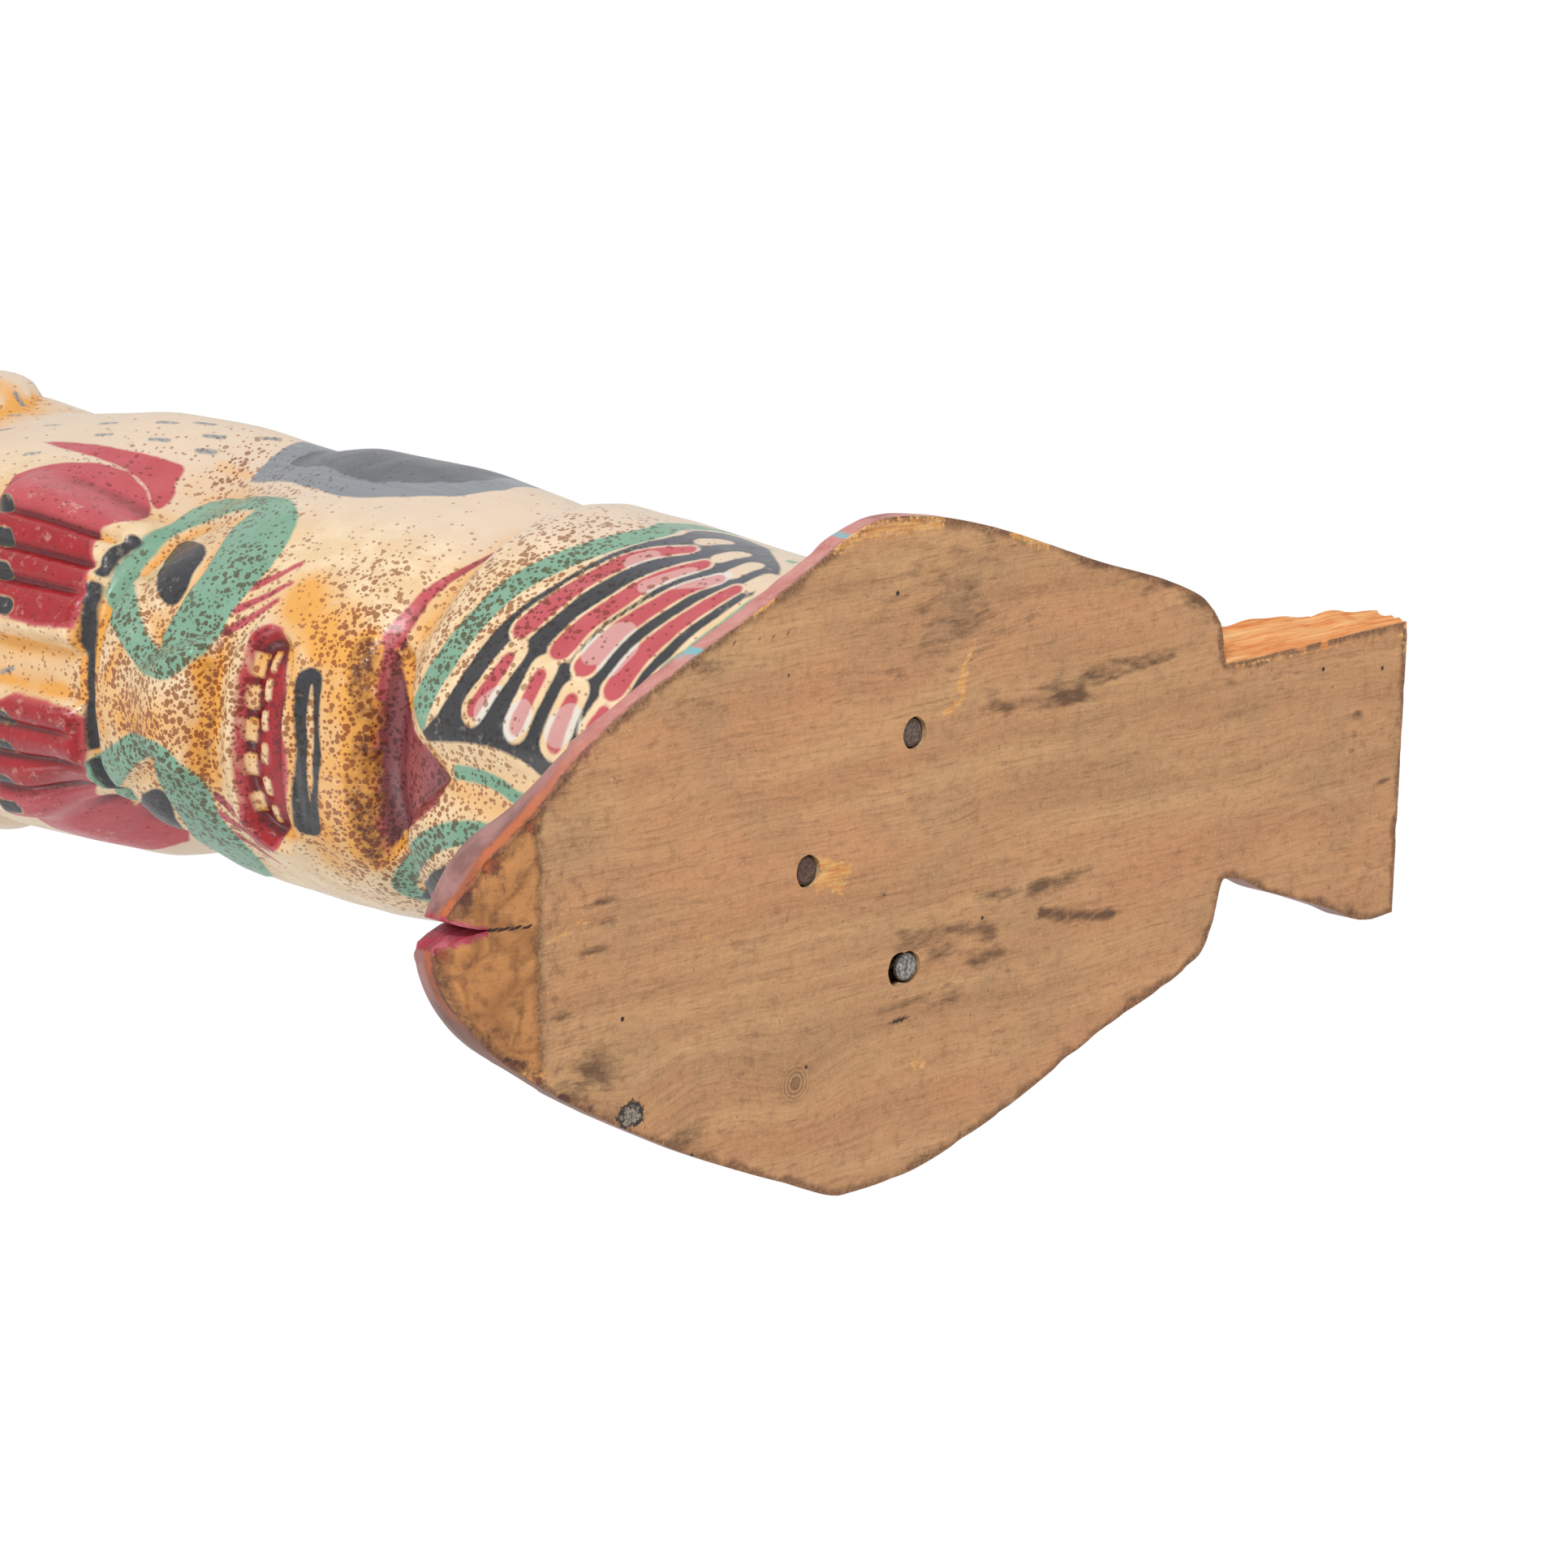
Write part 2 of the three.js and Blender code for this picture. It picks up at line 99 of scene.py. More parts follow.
# %% Profiles of the log, height and radius in millimetres
POLE_X, POLE_Y = 2.5, -8.0
ARC = 66.0
BACK_DEPTH = 56.0
RING_TILT = 5.0
POLE_FOOT = 18.3
DOME_START = 550.0
DOME_HEIGHT = 50.0
FRONT_PROFILE = [
    (18, 62), (62, 64), (100, 67.5), (132, 66), (152, 61), (161, 56.5), (165, 58), (172, 64.5), (184, 66.5),
    (205, 67.5), (224, 67), (240, 68), (262, 67.5), (278, 65.5), (285, 60), (292, 61), (345, 61), (390, 65),
    (430, 63), (470, 60), (480, 57), (488, 60), (512, 64), (550, 62),
]
CHEEK_PROFILE = [
    (18, 57), (62, 59), (100, 63), (132, 64.5), (150, 61.5), (160, 57), (167, 58), (180, 61), (205, 62),
    (222, 61.5), (240, 61), (252, 59.5), (262, 58), (272, 55.5), (281, 52.5), (290, 51), (300, 52),
    (310, 55.5), (322, 60), (340, 63), (365, 63.5), (400, 61), (430, 62), (470, 60), (480, 56.5),
    (490, 60), (520, 62), (550, 60),
]
SIDE_PROFILE = [
    (18, 54), (72, 56), (104, 59), (128, 60.8), (143, 61.5), (152, 58), (160, 59.8), (184, 64.5),
    (219, 67.9), (246, 68.2), (264, 66.2), (270, 64.8), (278, 65.8), (314, 68.6), (333, 68.8), (360, 65.8),
    (383, 63.5), (395, 65), (407, 66), (440, 65), (470, 62.5), (480, 58), (492, 61), (520, 63), (550, 61),
]


def smooth(low, high, x):
    t = np.clip((x - low) / (high - low), 0, 1)
    return t * t * (3 - 2 * t)


def along(table, x):
    """Smooth curve through a table of places and values."""
    at, value = np.array(table, float).T
    slope = np.diff(value) / np.diff(at)
    pull = np.zeros(len(at))
    before, after = slope[:-1], slope[1:]
    same_way = before * after > 0
    pull[1:-1][same_way] = 2 * before[same_way] * after[same_way] / (before + after)[same_way]
    x = np.clip(x, at[0], at[-1])
    i = np.clip(np.searchsorted(at, x) - 1, 0, len(at) - 2)
    span = at[i + 1] - at[i]
    t = (x - at[i]) / span
    rise = value[i + 1] - value[i]
    start, end = pull[i] * span, pull[i + 1] * span
    return value[i] + t * start + t * t * (3 * rise - 2 * start - end) + t**3 * (start + end - 2 * rise)


print("profiles with", len(FRONT_PROFILE), len(CHEEK_PROFILE), len(SIDE_PROFILE), "heights")

# %% [markdown]
# Relief is easiest to think of as cloth laid flat: u runs round the log in millimetres from the front, and
# h is the height. Ovals, capsules and distances to line segments are enough to build eyes, mouth and paws.
# Each helper returns 1 inside a shape and falls off softly, because a knife leaves rounded shoulders.

# %% Helpers for relief and for paint
def oval(u, h, centre_u, centre_h, half_u, half_h, rim=0.35):
    d = np.hypot((u - centre_u) / half_u, (h - centre_h) / half_h)
    return 1 - smooth(1 - rim, 1 + rim, d)


def segment_distance(u, h, a, b):
    du, dh = b[0] - a[0], b[1] - a[1]
    t = np.clip(((u - a[0]) * du + (h - a[1]) * dh) / (du * du + dh * dh + 1e-9), 0, 1)
    return np.hypot(u - a[0] - t * du, h - a[1] - t * dh)


def limb(distance, radius):
    return np.sqrt(np.maximum(0, 1 - (distance / radius) ** 2))


print("u of the quarter turn", round(ARC * math.pi / 2, 1), "mm")

# %% [markdown]
# Now the lower figure's own forms, one small function each. A form is a rise in millimetres at a place, and
# the rises are simply added up. The eyes come last, from outlines found on the photograph further down: a
# band stands out round the almond, and the almond lies a step deeper and swells into a low dome.

# %% Relief of the lower figure
COLLAR_TIP, COLLAR_TOP, COLLAR_HALF_WIDTH, COLLAR_DEPTH = 126.0, 162.0, 33.0, 4.0
FACE_AXIS = 2.8
MOUTH_U, MOUTH_H, MOUTH_HALF_WIDTH, MOUTH_HALF_HEIGHT = -3.0, 204.0, 33.0, 11.0
NOSE_TOP, NOSE_LENGTH = 268.0, 38.0
WING_RISE, FOOT_RISE, NOSE_RISE, MOUTH_DEPTH, LIP_RISE = 3.2, 9.0, 7.0, 4.5, 1.6
FOOT_U = math.radians(27) * ARC
TOE_PITCH = 12.0


def wings(angle, u, h):
    turn = np.degrees(np.abs(angle))
    inside = smooth(3, 12, turn) * (1 - smooth(108, 120, turn))
    upright = smooth(41, 51, h) * (1 - smooth(143, 155, h))
    v_half_width = COLLAR_HALF_WIDTH * (h - COLLAR_TIP) / (COLLAR_TOP - COLLAR_TIP)
    collar = np.where(h < COLLAR_TOP + 4, 1 - smooth(v_half_width - 3, v_half_width + 3, np.abs(u)), 0)
    return WING_RISE * inside * upright - COLLAR_DEPTH * collar * smooth(COLLAR_TIP - 6, COLLAR_TIP, h)


def lower_feet(u, z):
    foot = np.abs(u) - FOOT_U
    pad = (1 - smooth(16, 22, np.abs(foot))) * (1 - smooth(37, 47, z))
    return FOOT_RISE * pad * (0.8 + 0.2 * np.cos(2 * math.pi * foot / TOE_PITCH))


def eye_pair(side, h, centre_u, centre_h, share):
    lean = (side - centre_u) * 0.28
    socket = oval(side, h + lean, centre_u, centre_h - 2, 27 * share, 17 * share, 0.3)
    ball = oval(side, h + lean, centre_u, centre_h, 15 * share, 10 * share, 0.45)
    brow = oval(side, h + lean, centre_u, centre_h - 2, 34 * share, 24 * share, 0.2) - socket
    return 2.6 * np.maximum(0, brow) - 5.5 * socket + 4.5 * ball


def lower_face(u, h):
    side = np.abs(u - FACE_AXIS)
    wedge = (NOSE_TOP - h) / NOSE_LENGTH
    half_width = 6 + 14 * np.maximum(0, wedge)
    nose = smooth(0, 0.8, wedge) * (1 - smooth(1, 1.12, wedge))
    nose = nose * (1 - smooth(half_width - 5, half_width + 4, side))
    reach = MOUTH_HALF_WIDTH - MOUTH_HALF_HEIGHT
    edge = segment_distance(u - MOUTH_U, h, (-reach, MOUTH_H), (reach, MOUTH_H)) - MOUTH_HALF_HEIGHT
    mouth = 1 - smooth(-3.5, 0.5, edge)
    lip = (1 - smooth(1.5, 6, edge)) * (1 - mouth)
    return NOSE_RISE * nose - MOUTH_DEPTH * mouth + LIP_RISE * lip + carved_eyes(u, h)


print("the collar's V runs from height", COLLAR_TIP, "to", COLLAR_TOP, "mm, feet at u", round(FOOT_U, 1))

# %% [markdown]
# The lower eyes need more care, since the camera looks straight at them. Their outlines are brushed shapes,
# so their relief follows the same outlines. The list starts empty and is filled once the outlines have been
# found: until then the lines of sight meet a face without eyes, and a few turns settle both.

# %% Relief of the lower eyes
eye_shapes = []


def eye_relief(u, h, outer, inner, middle):
    """A band round the almond, a step down inside it and a low dome under the pupil."""
    band, almond = outline_distance(u, h, outer), outline_distance(u, h, inner)
    dome = np.clip(1 - np.hypot((u - middle[0]) / 17, (h - middle[1]) / 12) ** 2, 0, 1)
    step = smooth(0.8, -2.2, almond)
    return 0.9 * smooth(1.0, -2.5, band) * (1 - step) - 1.7 * step + 2.4 * dome * step


def carved_eyes(u, h):
    """The relief of the lower eyes, from the outlines that are known so far."""
    rise = np.zeros(np.shape(u))
    near = (h > 215) & (h < 300) & (np.abs(u - FACE_AXIS) < 85)
    for shape in eye_shapes:
        rise[near] += eye_relief(u[near], h[near], *shape)
    return rise


print("outlines of eyes known so far:", len(eye_shapes))

# %% [markdown]
# The upper figure sits on the lower one's head. The photograph shows only its paws and its belly, so arms,
# hands and face are guessed and kept plainer. A limb is a half-round ridge along a line, and a muzzle is an
# oval. The grooves between the digits are sharp, because a knife was drawn along them.

# %% Relief of the upper figure
PAW_GAP, PAW_INNER, PAW_OUTER, PAW_BOTTOM, PAW_TOP = 4.0, 9.0, 62.0, 289.5, 347.0
DIGIT_GROOVES = (49.0, 38.5, 29.0, -14.0, -25.0, -38.0)
PAW_RISE, GROOVE_DEPTH, GROOVE_WIDTH = 7.3, 2.9, 1.9
HAND_U, HAND_H, FINGER_PITCH = 24.0, 452.0, 7.5
SHOULDER, ELBOW = (97.0, 478.0), (105.0, 416.0)
UPPER_EYE_U, UPPER_EYE_H = 37.0, 540.0
UPPER_MOUTH_U, UPPER_MOUTH_H = 18.0, 503.0


def paws(u, z):
    inward = np.abs(u - PAW_GAP)
    rim = smooth(PAW_INNER - 3, PAW_INNER + 3, inward) * (1 - smooth(PAW_OUTER - 12, PAW_OUTER + 4, inward))
    upright = smooth(PAW_BOTTOM - 4, PAW_BOTTOM + 3, z) * (1 - smooth(PAW_TOP - 7, PAW_TOP + 4, z))
    groove = sum(np.exp(-((u - place) / GROOVE_WIDTH) ** 2) for place in DIGIT_GROOVES)
    return rim * upright * (PAW_RISE - GROOVE_DEPTH * groove * smooth(PAW_BOTTOM - 3, PAW_BOTTOM + 7, z))


def arms(u, z):
    side = np.abs(u)
    upper = limb(segment_distance(side, z, SHOULDER, ELBOW), 17)
    fore = limb(segment_distance(side, z, ELBOW, (HAND_U, HAND_H)), 13)
    hand = limb(np.hypot(side - HAND_U, (z - HAND_H) * 0.85), 15)
    finger = 1 - 0.18 * (0.5 + 0.5 * np.cos(2 * math.pi * (side - HAND_U) / FINGER_PITCH))
    return np.maximum(8 * np.maximum(upper, fore), 10 * hand * finger)


def upper_face(u, z):
    muzzle = oval(u, z, 0, 512, 34, 23, 0.35)
    edge = segment_distance(u, z, (-UPPER_MOUTH_U, UPPER_MOUTH_H), (UPPER_MOUTH_U, UPPER_MOUTH_H)) - 6
    mouth = 1 - smooth(-3, 1, edge)
    nostrils = oval(u, z, 0, 526, 14, 7, 0.4)
    face = 13 * muzzle - MOUTH_DEPTH * mouth + 4 * nostrils
    return face + eye_pair(np.abs(u), z, UPPER_EYE_U, UPPER_EYE_H, 0.8)


print("hands", 2 * HAND_U, "mm apart at height", HAND_H)

# %% [markdown]
# All of it comes together in one function, the pole's radius. It serves two ends: the mesh is sampled from
# it, and lines of sight are followed until they dip below it. So paint and relief can't drift apart, even
# where a cheek or a paw stands out towards the camera.

# %% The whole surface
# A depth, then the middle and the half sizes of the hollows at the flank and at the temple.
HOLLOWS = [(8.0, -78, 300, 46, 24), (3.0, -66, 266, 18, 15)]
BACK_FROM, BACK_BLEND = 95.0, 4.0
CHEEK_TURN, SIDE_TURN = (12, 62), (72, 104)
SIGHT_FROM, SIGHT_TO, SIGHT_STEPS = 1250, 1850, 601


def leaned(angle, z):
    """Height as the carver saw it: the rings of the lower head lean a little."""
    return z + RING_TILT * np.sin(angle) * smooth(110, 150, z) * (1 - smooth(290, 330, z))


def pole_radius(angle, z):
    turn = np.degrees(np.abs(angle))
    u = angle * ARC
    h = leaned(angle, z)
    cheek, side = smooth(*CHEEK_TURN, turn), smooth(*SIDE_TURN, turn)
    radius = along(FRONT_PROFILE, h) * (1 - cheek) + along(CHEEK_PROFILE, h) * cheek
    radius = radius * (1 - side) + along(SIDE_PROFILE, h) * side
    radius = radius + wings(angle, u, h) + lower_feet(u, z) + lower_face(u, h) + paws(u, z)
    flank, temple = [deep * oval(u, z, *place, 0.4) for deep, *place in HOLLOWS]
    radius = radius + arms(u, z) + upper_face(u, z) - flank - temple
    flat = BACK_DEPTH / np.maximum(0.05, -np.cos(angle))
    meet = np.maximum(0, BACK_BLEND - np.abs(radius - flat)) / BACK_BLEND
    return np.where(turn > BACK_FROM, np.minimum(radius, flat) - meet * meet, radius)


def on_pole(pixels):
    """Where lines of sight through these pixels meet the pole, as u and h."""
    lines = sight_lines(pixels)
    steps = np.linspace(SIGHT_FROM, SIGHT_TO, SIGHT_STEPS)
    points = eye + lines[:, None] * steps[None, :, None]
    angle = np.arctan2(points[..., 0] - POLE_X, POLE_Y - points[..., 1])
    outside = np.hypot(points[..., 0] - POLE_X, points[..., 1] - POLE_Y) - pole_radius(angle, points[..., 2])
    first = np.maximum(1, np.argmax(outside < 0, axis=1))
    row = np.arange(len(lines))
    share = outside[row, first - 1] / (outside[row, first - 1] - outside[row, first])
    hit = eye + lines * (steps[first - 1] + share * (steps[1] - steps[0]))[:, None]
    angle = np.arctan2(hit[:, 0] - POLE_X, POLE_Y - hit[:, 1])
    return np.stack([angle * ARC, leaned(angle, hit[:, 2])], axis=1)


def on_board(pixels):
    """Where lines of sight through these pixels meet the underside, as x and y."""
    lines = sight_lines(pixels)
    return (eye + lines * (-eye[2] / lines[:, 2])[:, None])[:, :2]


print("nose bridge at", on_pole([(160, 880)]).round(1), "mm")

# %% [markdown]
# The paint is brushed on, so its edges are lines, not dots. For each colour we work out, at every point of
# the pole's mesh, how far the point lies from the nearest brushed edge: below zero inside the paint, above
# zero outside. The shader later cuts that distance at zero, and the edge stays crisp at any size.
# The strokes are followed on the photograph in pixels, and laid on the log by line of sight.

# %% Brush tools
def outline_distance(u, h, corners):
    """Signed distance to a closed outline, below zero inside."""
    corners = np.asarray(corners, float)
    nearest = np.full(u.shape, 1e9)
    inside = np.zeros(u.shape, bool)
    for a, b in zip(corners, np.roll(corners, -1, axis=0)):
        nearest = np.minimum(nearest, segment_distance(u, h, a, b))
        crosses = (a[1] > h) != (b[1] > h)
        inside ^= crosses & (u < a[0] + (h - a[1]) * (b[0] - a[0]) / (b[1] - a[1] + 1e-12))
    return np.where(inside, -nearest, nearest)


def stroke_distance(u, h, path, start_width, end_width=None):
    """Signed distance to a brush stroke whose width runs from one value to another, in millimetres."""
    end_width = start_width if end_width is None else end_width
    path = np.asarray(path, float)
    lengths = np.linalg.norm(np.diff(path, axis=0), axis=1)
    reached = np.concatenate([[0], np.cumsum(lengths)]) / max(lengths.sum(), 1e-9)
    nearest = np.full(u.shape, 1e9)
    for i in range(len(path) - 1):
        half = (start_width + (end_width - start_width) * (reached[i] + reached[i + 1]) / 2) / 2
        nearest = np.minimum(nearest, segment_distance(u, h, path[i], path[i + 1]) - half)
    return nearest


def rounded(path, per_span=4):
    """The same path with its corners eased into a curve."""
    p = np.asarray(path, float)
    p = np.vstack([2 * p[0] - p[1], p, 2 * p[-1] - p[-2]])
    out = []
    for i in range(1, len(p) - 2):
        for t in np.linspace(0, 1, per_span, endpoint=False):
            a, b, c, d = p[i - 1 : i + 3]
            out.append(0.5 * (2 * b + (c - a) * t + (2 * a - 5 * b + 4 * c - d) * t**2
                              + (3 * b - a - 3 * c + d) * t**3))
    return np.array(out + [p[-2]])


def rounded_ring(path, per_span=4):
    p = np.asarray(path, float)
    return rounded(np.vstack([p, p[:1]]), per_span)[:-1]


def mirrored(points):
    flipped = np.array(points, float)
    flipped[:, 0] = 2 * FACE_AXIS - flipped[:, 0]
    return flipped


middle_of_stroke = stroke_distance(np.zeros(1), np.zeros(1), [(-9, 0), (9, 0)], 6.0)
print("the middle of a 6 mm stroke lies at", middle_of_stroke, "mm")

# %% [markdown]
# The eyes. A broad green band runs round an almond-shaped hollow, and the pupil is a black leaf. The face
# was carved by halves, so the far eye is the near one turned over about the nose, which is what the
# photograph shows at its edge.

# %% Strokes of the lower face, in pixels
BROW_OUTER = [
    (196, 838), (169, 823), (150, 792), (136, 766), (133, 744), (135, 717), (145, 695), (167, 673),
    (198, 651), (238, 627), (282, 614), (326, 612), (356, 616), (367, 629), (365, 647), (352, 673),
    (334, 700), (308, 726), (282, 761), (264, 792), (238, 816), (211, 834),
]
BROW_INNER = [
    (197, 802), (185, 788), (174, 761), (169, 735), (172, 708), (189, 686), (207, 667), (238, 649),
    (273, 636), (308, 628), (314, 630), (304, 647), (286, 664), (260, 706), (242, 730), (224, 757),
    (211, 779), (202, 796),
]
PUPIL = [
    (253, 673), (229, 667), (207, 686), (194, 713), (194, 730), (205, 744), (218, 744), (231, 726),
    (240, 704), (252, 686),
]
WHISKERS = [
    [(309, 722), (340, 711), (372, 694)], [(291, 751), (325, 736), (359, 719)],
    [(281, 777), (312, 760), (342, 740)],
]
MOUTH_RED = [
    (304, 792), (312, 777), (334, 768), (352, 777), (356, 792), (353, 850), (352, 920), (353, 990),
    (352, 1030), (343, 1047), (328, 1047), (308, 1030), (293, 990), (287, 946), (288, 880), (295, 827),
]
UPPER_TEETH = [(320, 819), (318, 860), (316, 900), (315, 941), (317, 987)]
LOWER_TEETH = [(337, 814), (334, 851), (332, 889), (332, 930), (332, 969), (334, 1001)]
CHIN_RING = [(382, 842), (381, 930), (381, 1014)]
CHIN_SLIT = [(384, 842), (387, 862), (387, 920), (385, 965), (382, 990), (379, 965), (379, 920), (380, 862)]
# A black stroke in the groove along the top of the forehead, under the paws: painted shade.
FOREHEAD_SHADE_LINE = [(117, 722), (112, 748), (110, 792), (113, 836), (115, 880), (118, 918)]
FOREHEAD_KNOBS = [[(166, 665), (146, 678), (125, 705)], [(119, 938), (128, 955), (145, 970)]]
COLLAR_V = [
    (476, 789), (495, 789), (495, 821), (505, 870), (525, 919), (556, 962), (538, 993), (497, 1025),
    (478, 1057), (472, 1042), (469, 968), (472, 886),
]
COLLAR_LINE = [(484, 789), (497, 772), (525, 736), (562, 707), (595, 691)]

for turn in range(3):
    brow_outer, brow_inner = rounded_ring(on_pole(BROW_OUTER), 2), rounded_ring(on_pole(BROW_INNER), 2)
    pupil = rounded_ring(on_pole(PUPIL), 3)
    right_eye = (brow_outer, brow_inner, pupil.mean(axis=0))
    eye_shapes = [right_eye, (mirrored(brow_outer), mirrored(brow_inner), mirrored(pupil).mean(axis=0))]
print("right pupil centre", pupil.mean(axis=0).round(1), "mm, left", mirrored(pupil).mean(axis=0).round(1))

# %% [markdown]
# The wings. On a black ground stand rows of cream feathers with a red quill in each, under a green stripe.
# The feathers are strokes as well: a wide cream one and a narrower red one along the same path.

# %% Strokes of the wings, in pixels
WING_STRIPE = [
    (515, 880), (525, 854), (554, 805), (591, 760), (636, 720), (689, 691), (746, 672), (807, 656),
]
WING_GROUND = [
    (525, 912), (540, 880), (575, 822), (620, 768), (672, 727), (725, 696), (786, 671), (840, 659),
    (938, 672), (952, 684), (962, 700), (958, 716), (940, 728),
    (915, 740), (872, 768), (832, 803), (802, 833), (775, 866), (745, 905), (700, 950), (676, 962),
    (644, 938), (603, 920), (562, 915),
]
SHORT_FEATHERS = [
    [(633, 806), (607, 838), (584, 872)], [(669, 826), (652, 858), (636, 893)],
    [(707, 856), (693, 888), (683, 916)], [(745, 877), (738, 888), (731, 899)],
]
LONG_FEATHERS = [
    [(646, 772), (676, 748), (713, 721), (754, 699), (799, 683), (848, 676)],
    [(693, 798), (721, 770), (758, 744), (795, 721), (831, 705), (866, 695)],
    [(722, 818), (746, 793), (778, 766), (815, 742), (852, 723), (884, 713)],
    [(758, 848), (782, 817), (815, 785), (848, 760), (880, 740), (905, 727)],
]
END_FEATHERS = [(880, 667), (901, 685), (917, 702), (936, 718)]
TIP_DOTS = [(950, 678), (976, 692)]
LOWER_STRIPE = [(819, 825), (868, 788), (913, 755), (950, 735)]
BELLY_STRIPE = [(564, 951), (595, 958), (623, 972), (646, 987)]
LEFT_STRIPE = [(578, 1028), (538, 1034), (511, 1057), (498, 1090)]
LEFT_GROUND = [
    (566, 1063), (540, 1070), (523, 1087), (518, 1108),
]
wing_ground = np.insert(on_pole(WING_GROUND), 8, [(103, 97), (115, 94)], axis=0)
print("right wing from u", wing_ground[:, 0].min().round(1), "to", wing_ground[:, 0].max().round(1), "mm")

# %% [markdown]
# Last come the black patch on the side, drawn grey as painted sheen, the paws with their nails, and the
# short dashes that stand for fur, in the same sheen grey. Where the picture's edge or the board cuts a shape
# off, a few places in millimetres carry it on.

# %% Strokes of the side and of the upper figure, in pixels
SIDE_PATCH = [
    (308, 593), (345, 594), (380, 600), (410, 609), (440, 613), (500, 613), (562, 611), (623, 605),
    (660, 601),
]
FLANK_RED = [
    (53, 545), (88, 545), (132, 550), (176, 559), (220, 572), (227, 581), (216, 598), (216, 609),
    (202, 625), (189, 625), (180, 600), (154, 577), (119, 563), (84, 555),
]
PAW_RIGHT = [
    (2, 592), (18, 585), (66, 572), (123, 570), (158, 581), (180, 603), (187, 627), (167, 642),
    (123, 656), (115, 686), (110, 726), (101, 757), (88, 776), (44, 772), (2, 760),
]
PAW_LEFT = [
    (2, 860), (18, 853), (53, 862), (88, 873), (106, 884), (110, 924), (108, 955), (119, 977), (168, 994),
]
PAW_NAILS = [(5, 623), (3, 661), (2, 703), (2, 745), (3, 883), (4, 921), (3, 962), (12, 994)]
FUR_DASHES = [
    (26, 497), (18, 512), (8, 528), (39, 559), (64, 524), (134, 521), (128, 535), (205, 521),
    (196, 542), (253, 521), (264, 538), (254, 556), (334, 541), (9, 826),
]
side_patch = on_pole(SIDE_PATCH)
side_patch = np.vstack([side_patch, [(150, side_patch[-1, 1] + 6), (168, 200), (166, 262), (140, 284)]])
flank_red = rounded_ring(on_pole(FLANK_RED), 3)
paw_right = on_pole(PAW_RIGHT)
paw_left = on_pole(PAW_LEFT)
print("paws from heights", paw_right[:, 1].min().round(1), "and", paw_left[:, 1].min().round(1), "mm")

# %% [markdown]
# Now the log becomes a mesh. The carved front needs a point every millimetre, because the knife marks and
# the brushed edges live at that size, while the flat back can be coarse. So the columns and rows are spaced
# by hand-chosen stretches instead of evenly, which keeps the piece under its limit of triangles.

# %% Points of the pole
FRONT_FROM, FRONT_TO = -104.0, 119.0
columns = np.radians(np.concatenate([
    np.linspace(-180, FRONT_FROM, 17, endpoint=False),
    np.linspace(FRONT_FROM, FRONT_TO, 229, endpoint=False),
    np.linspace(FRONT_TO, 180, 15, endpoint=False),
]))
rows = np.concatenate([
    np.linspace(POLE_FOOT, 55, 16, endpoint=False),
    np.linspace(55, 350, 258, endpoint=False),
    np.linspace(350, DOME_START, 80),
])
climbs = np.radians(np.linspace(0, 90, 18)[1:-1])
angle_grid, height_grid = np.meshgrid(columns, rows)
radius_grid = pole_radius(angle_grid, height_grid)
u_grid, h_grid = angle_grid * ARC, leaned(angle_grid, height_grid)
print("log grid", angle_grid.shape)

# %% [markdown]
# Fine relief goes on top: the two rows of teeth, the creases between the digits, and the shallow facets that
# a straight knife leaves all over. Facets come from a few crossed waves whose lengths don't match, so the
# eye finds no repeat, and they cost nothing to work out.

# %% Teeth and knife facets
def capsule_rise(u, h, centre, half_u, half_h):
    reach = max(half_u - half_h, 0.1)
    d = segment_distance(u, h, (centre[0] - reach, centre[1]), (centre[0] + reach, centre[1]))
    return limb(np.minimum(d, half_h), half_h)


upper_teeth, lower_teeth = on_pole(UPPER_TEETH), on_pole(LOWER_TEETH)
upper_teeth[:, 1], lower_teeth[:, 1] = upper_teeth[:, 1].mean(), lower_teeth[:, 1].mean()
teeth_rise = np.zeros_like(u_grid)
for tooth in upper_teeth:
    teeth_rise = np.maximum(teeth_rise, 0.9 * capsule_rise(u_grid, h_grid, tooth, 3.5, 1.7))
for tooth in lower_teeth:
    teeth_rise = np.maximum(teeth_rise, 0.8 * capsule_rise(u_grid, h_grid, tooth, 3.1, 1.5))

facets = (
    0.16 * np.sin(u_grid / 3.1 + 1.7 * np.sin(h_grid / 17)) * np.sin(h_grid / 9.3 + np.sin(u_grid / 11))
    + 0.12 * np.sin(u_grid / 5.3 - h_grid / 7.9 + 2 * np.sin(u_grid / 23))
)
carved = radius_grid + facets + teeth_rise
print("teeth", len(upper_teeth), "over", len(lower_teeth))

# %% [markdown]
# Above the log the guessed head closes in a dome. Each ring up there is the last carved ring, shrunk and
# lifted, so no seam shows where the two meet. Then the rings are joined by quads and the ends by fans of
# triangles, and every point is held inside the solid's box.

# %% The dome and the mesh
EAR_ANGLE, EAR_CLIMB, EAR_HEIGHT = 72.0, 38.0, 14.0
DOME_FULLNESS = 0.75


def pole_points(angle, radius, z):
    x, y = POLE_X + radius * np.sin(angle), POLE_Y - radius * np.cos(angle)
    return np.stack([x, y, z + 0 * angle], axis=-1)


def new_object(name, mesh):
    obj = bpy.data.objects.new(name, mesh)
    bpy.context.scene.collection.objects.link(obj)
    return obj


def shade_smooth(mesh, sharp_degrees=None):
    mesh.polygons.foreach_set("use_smooth", [True] * len(mesh.polygons))
    if sharp_degrees:
        mesh.set_sharp_from_angle(angle=math.radians(sharp_degrees))


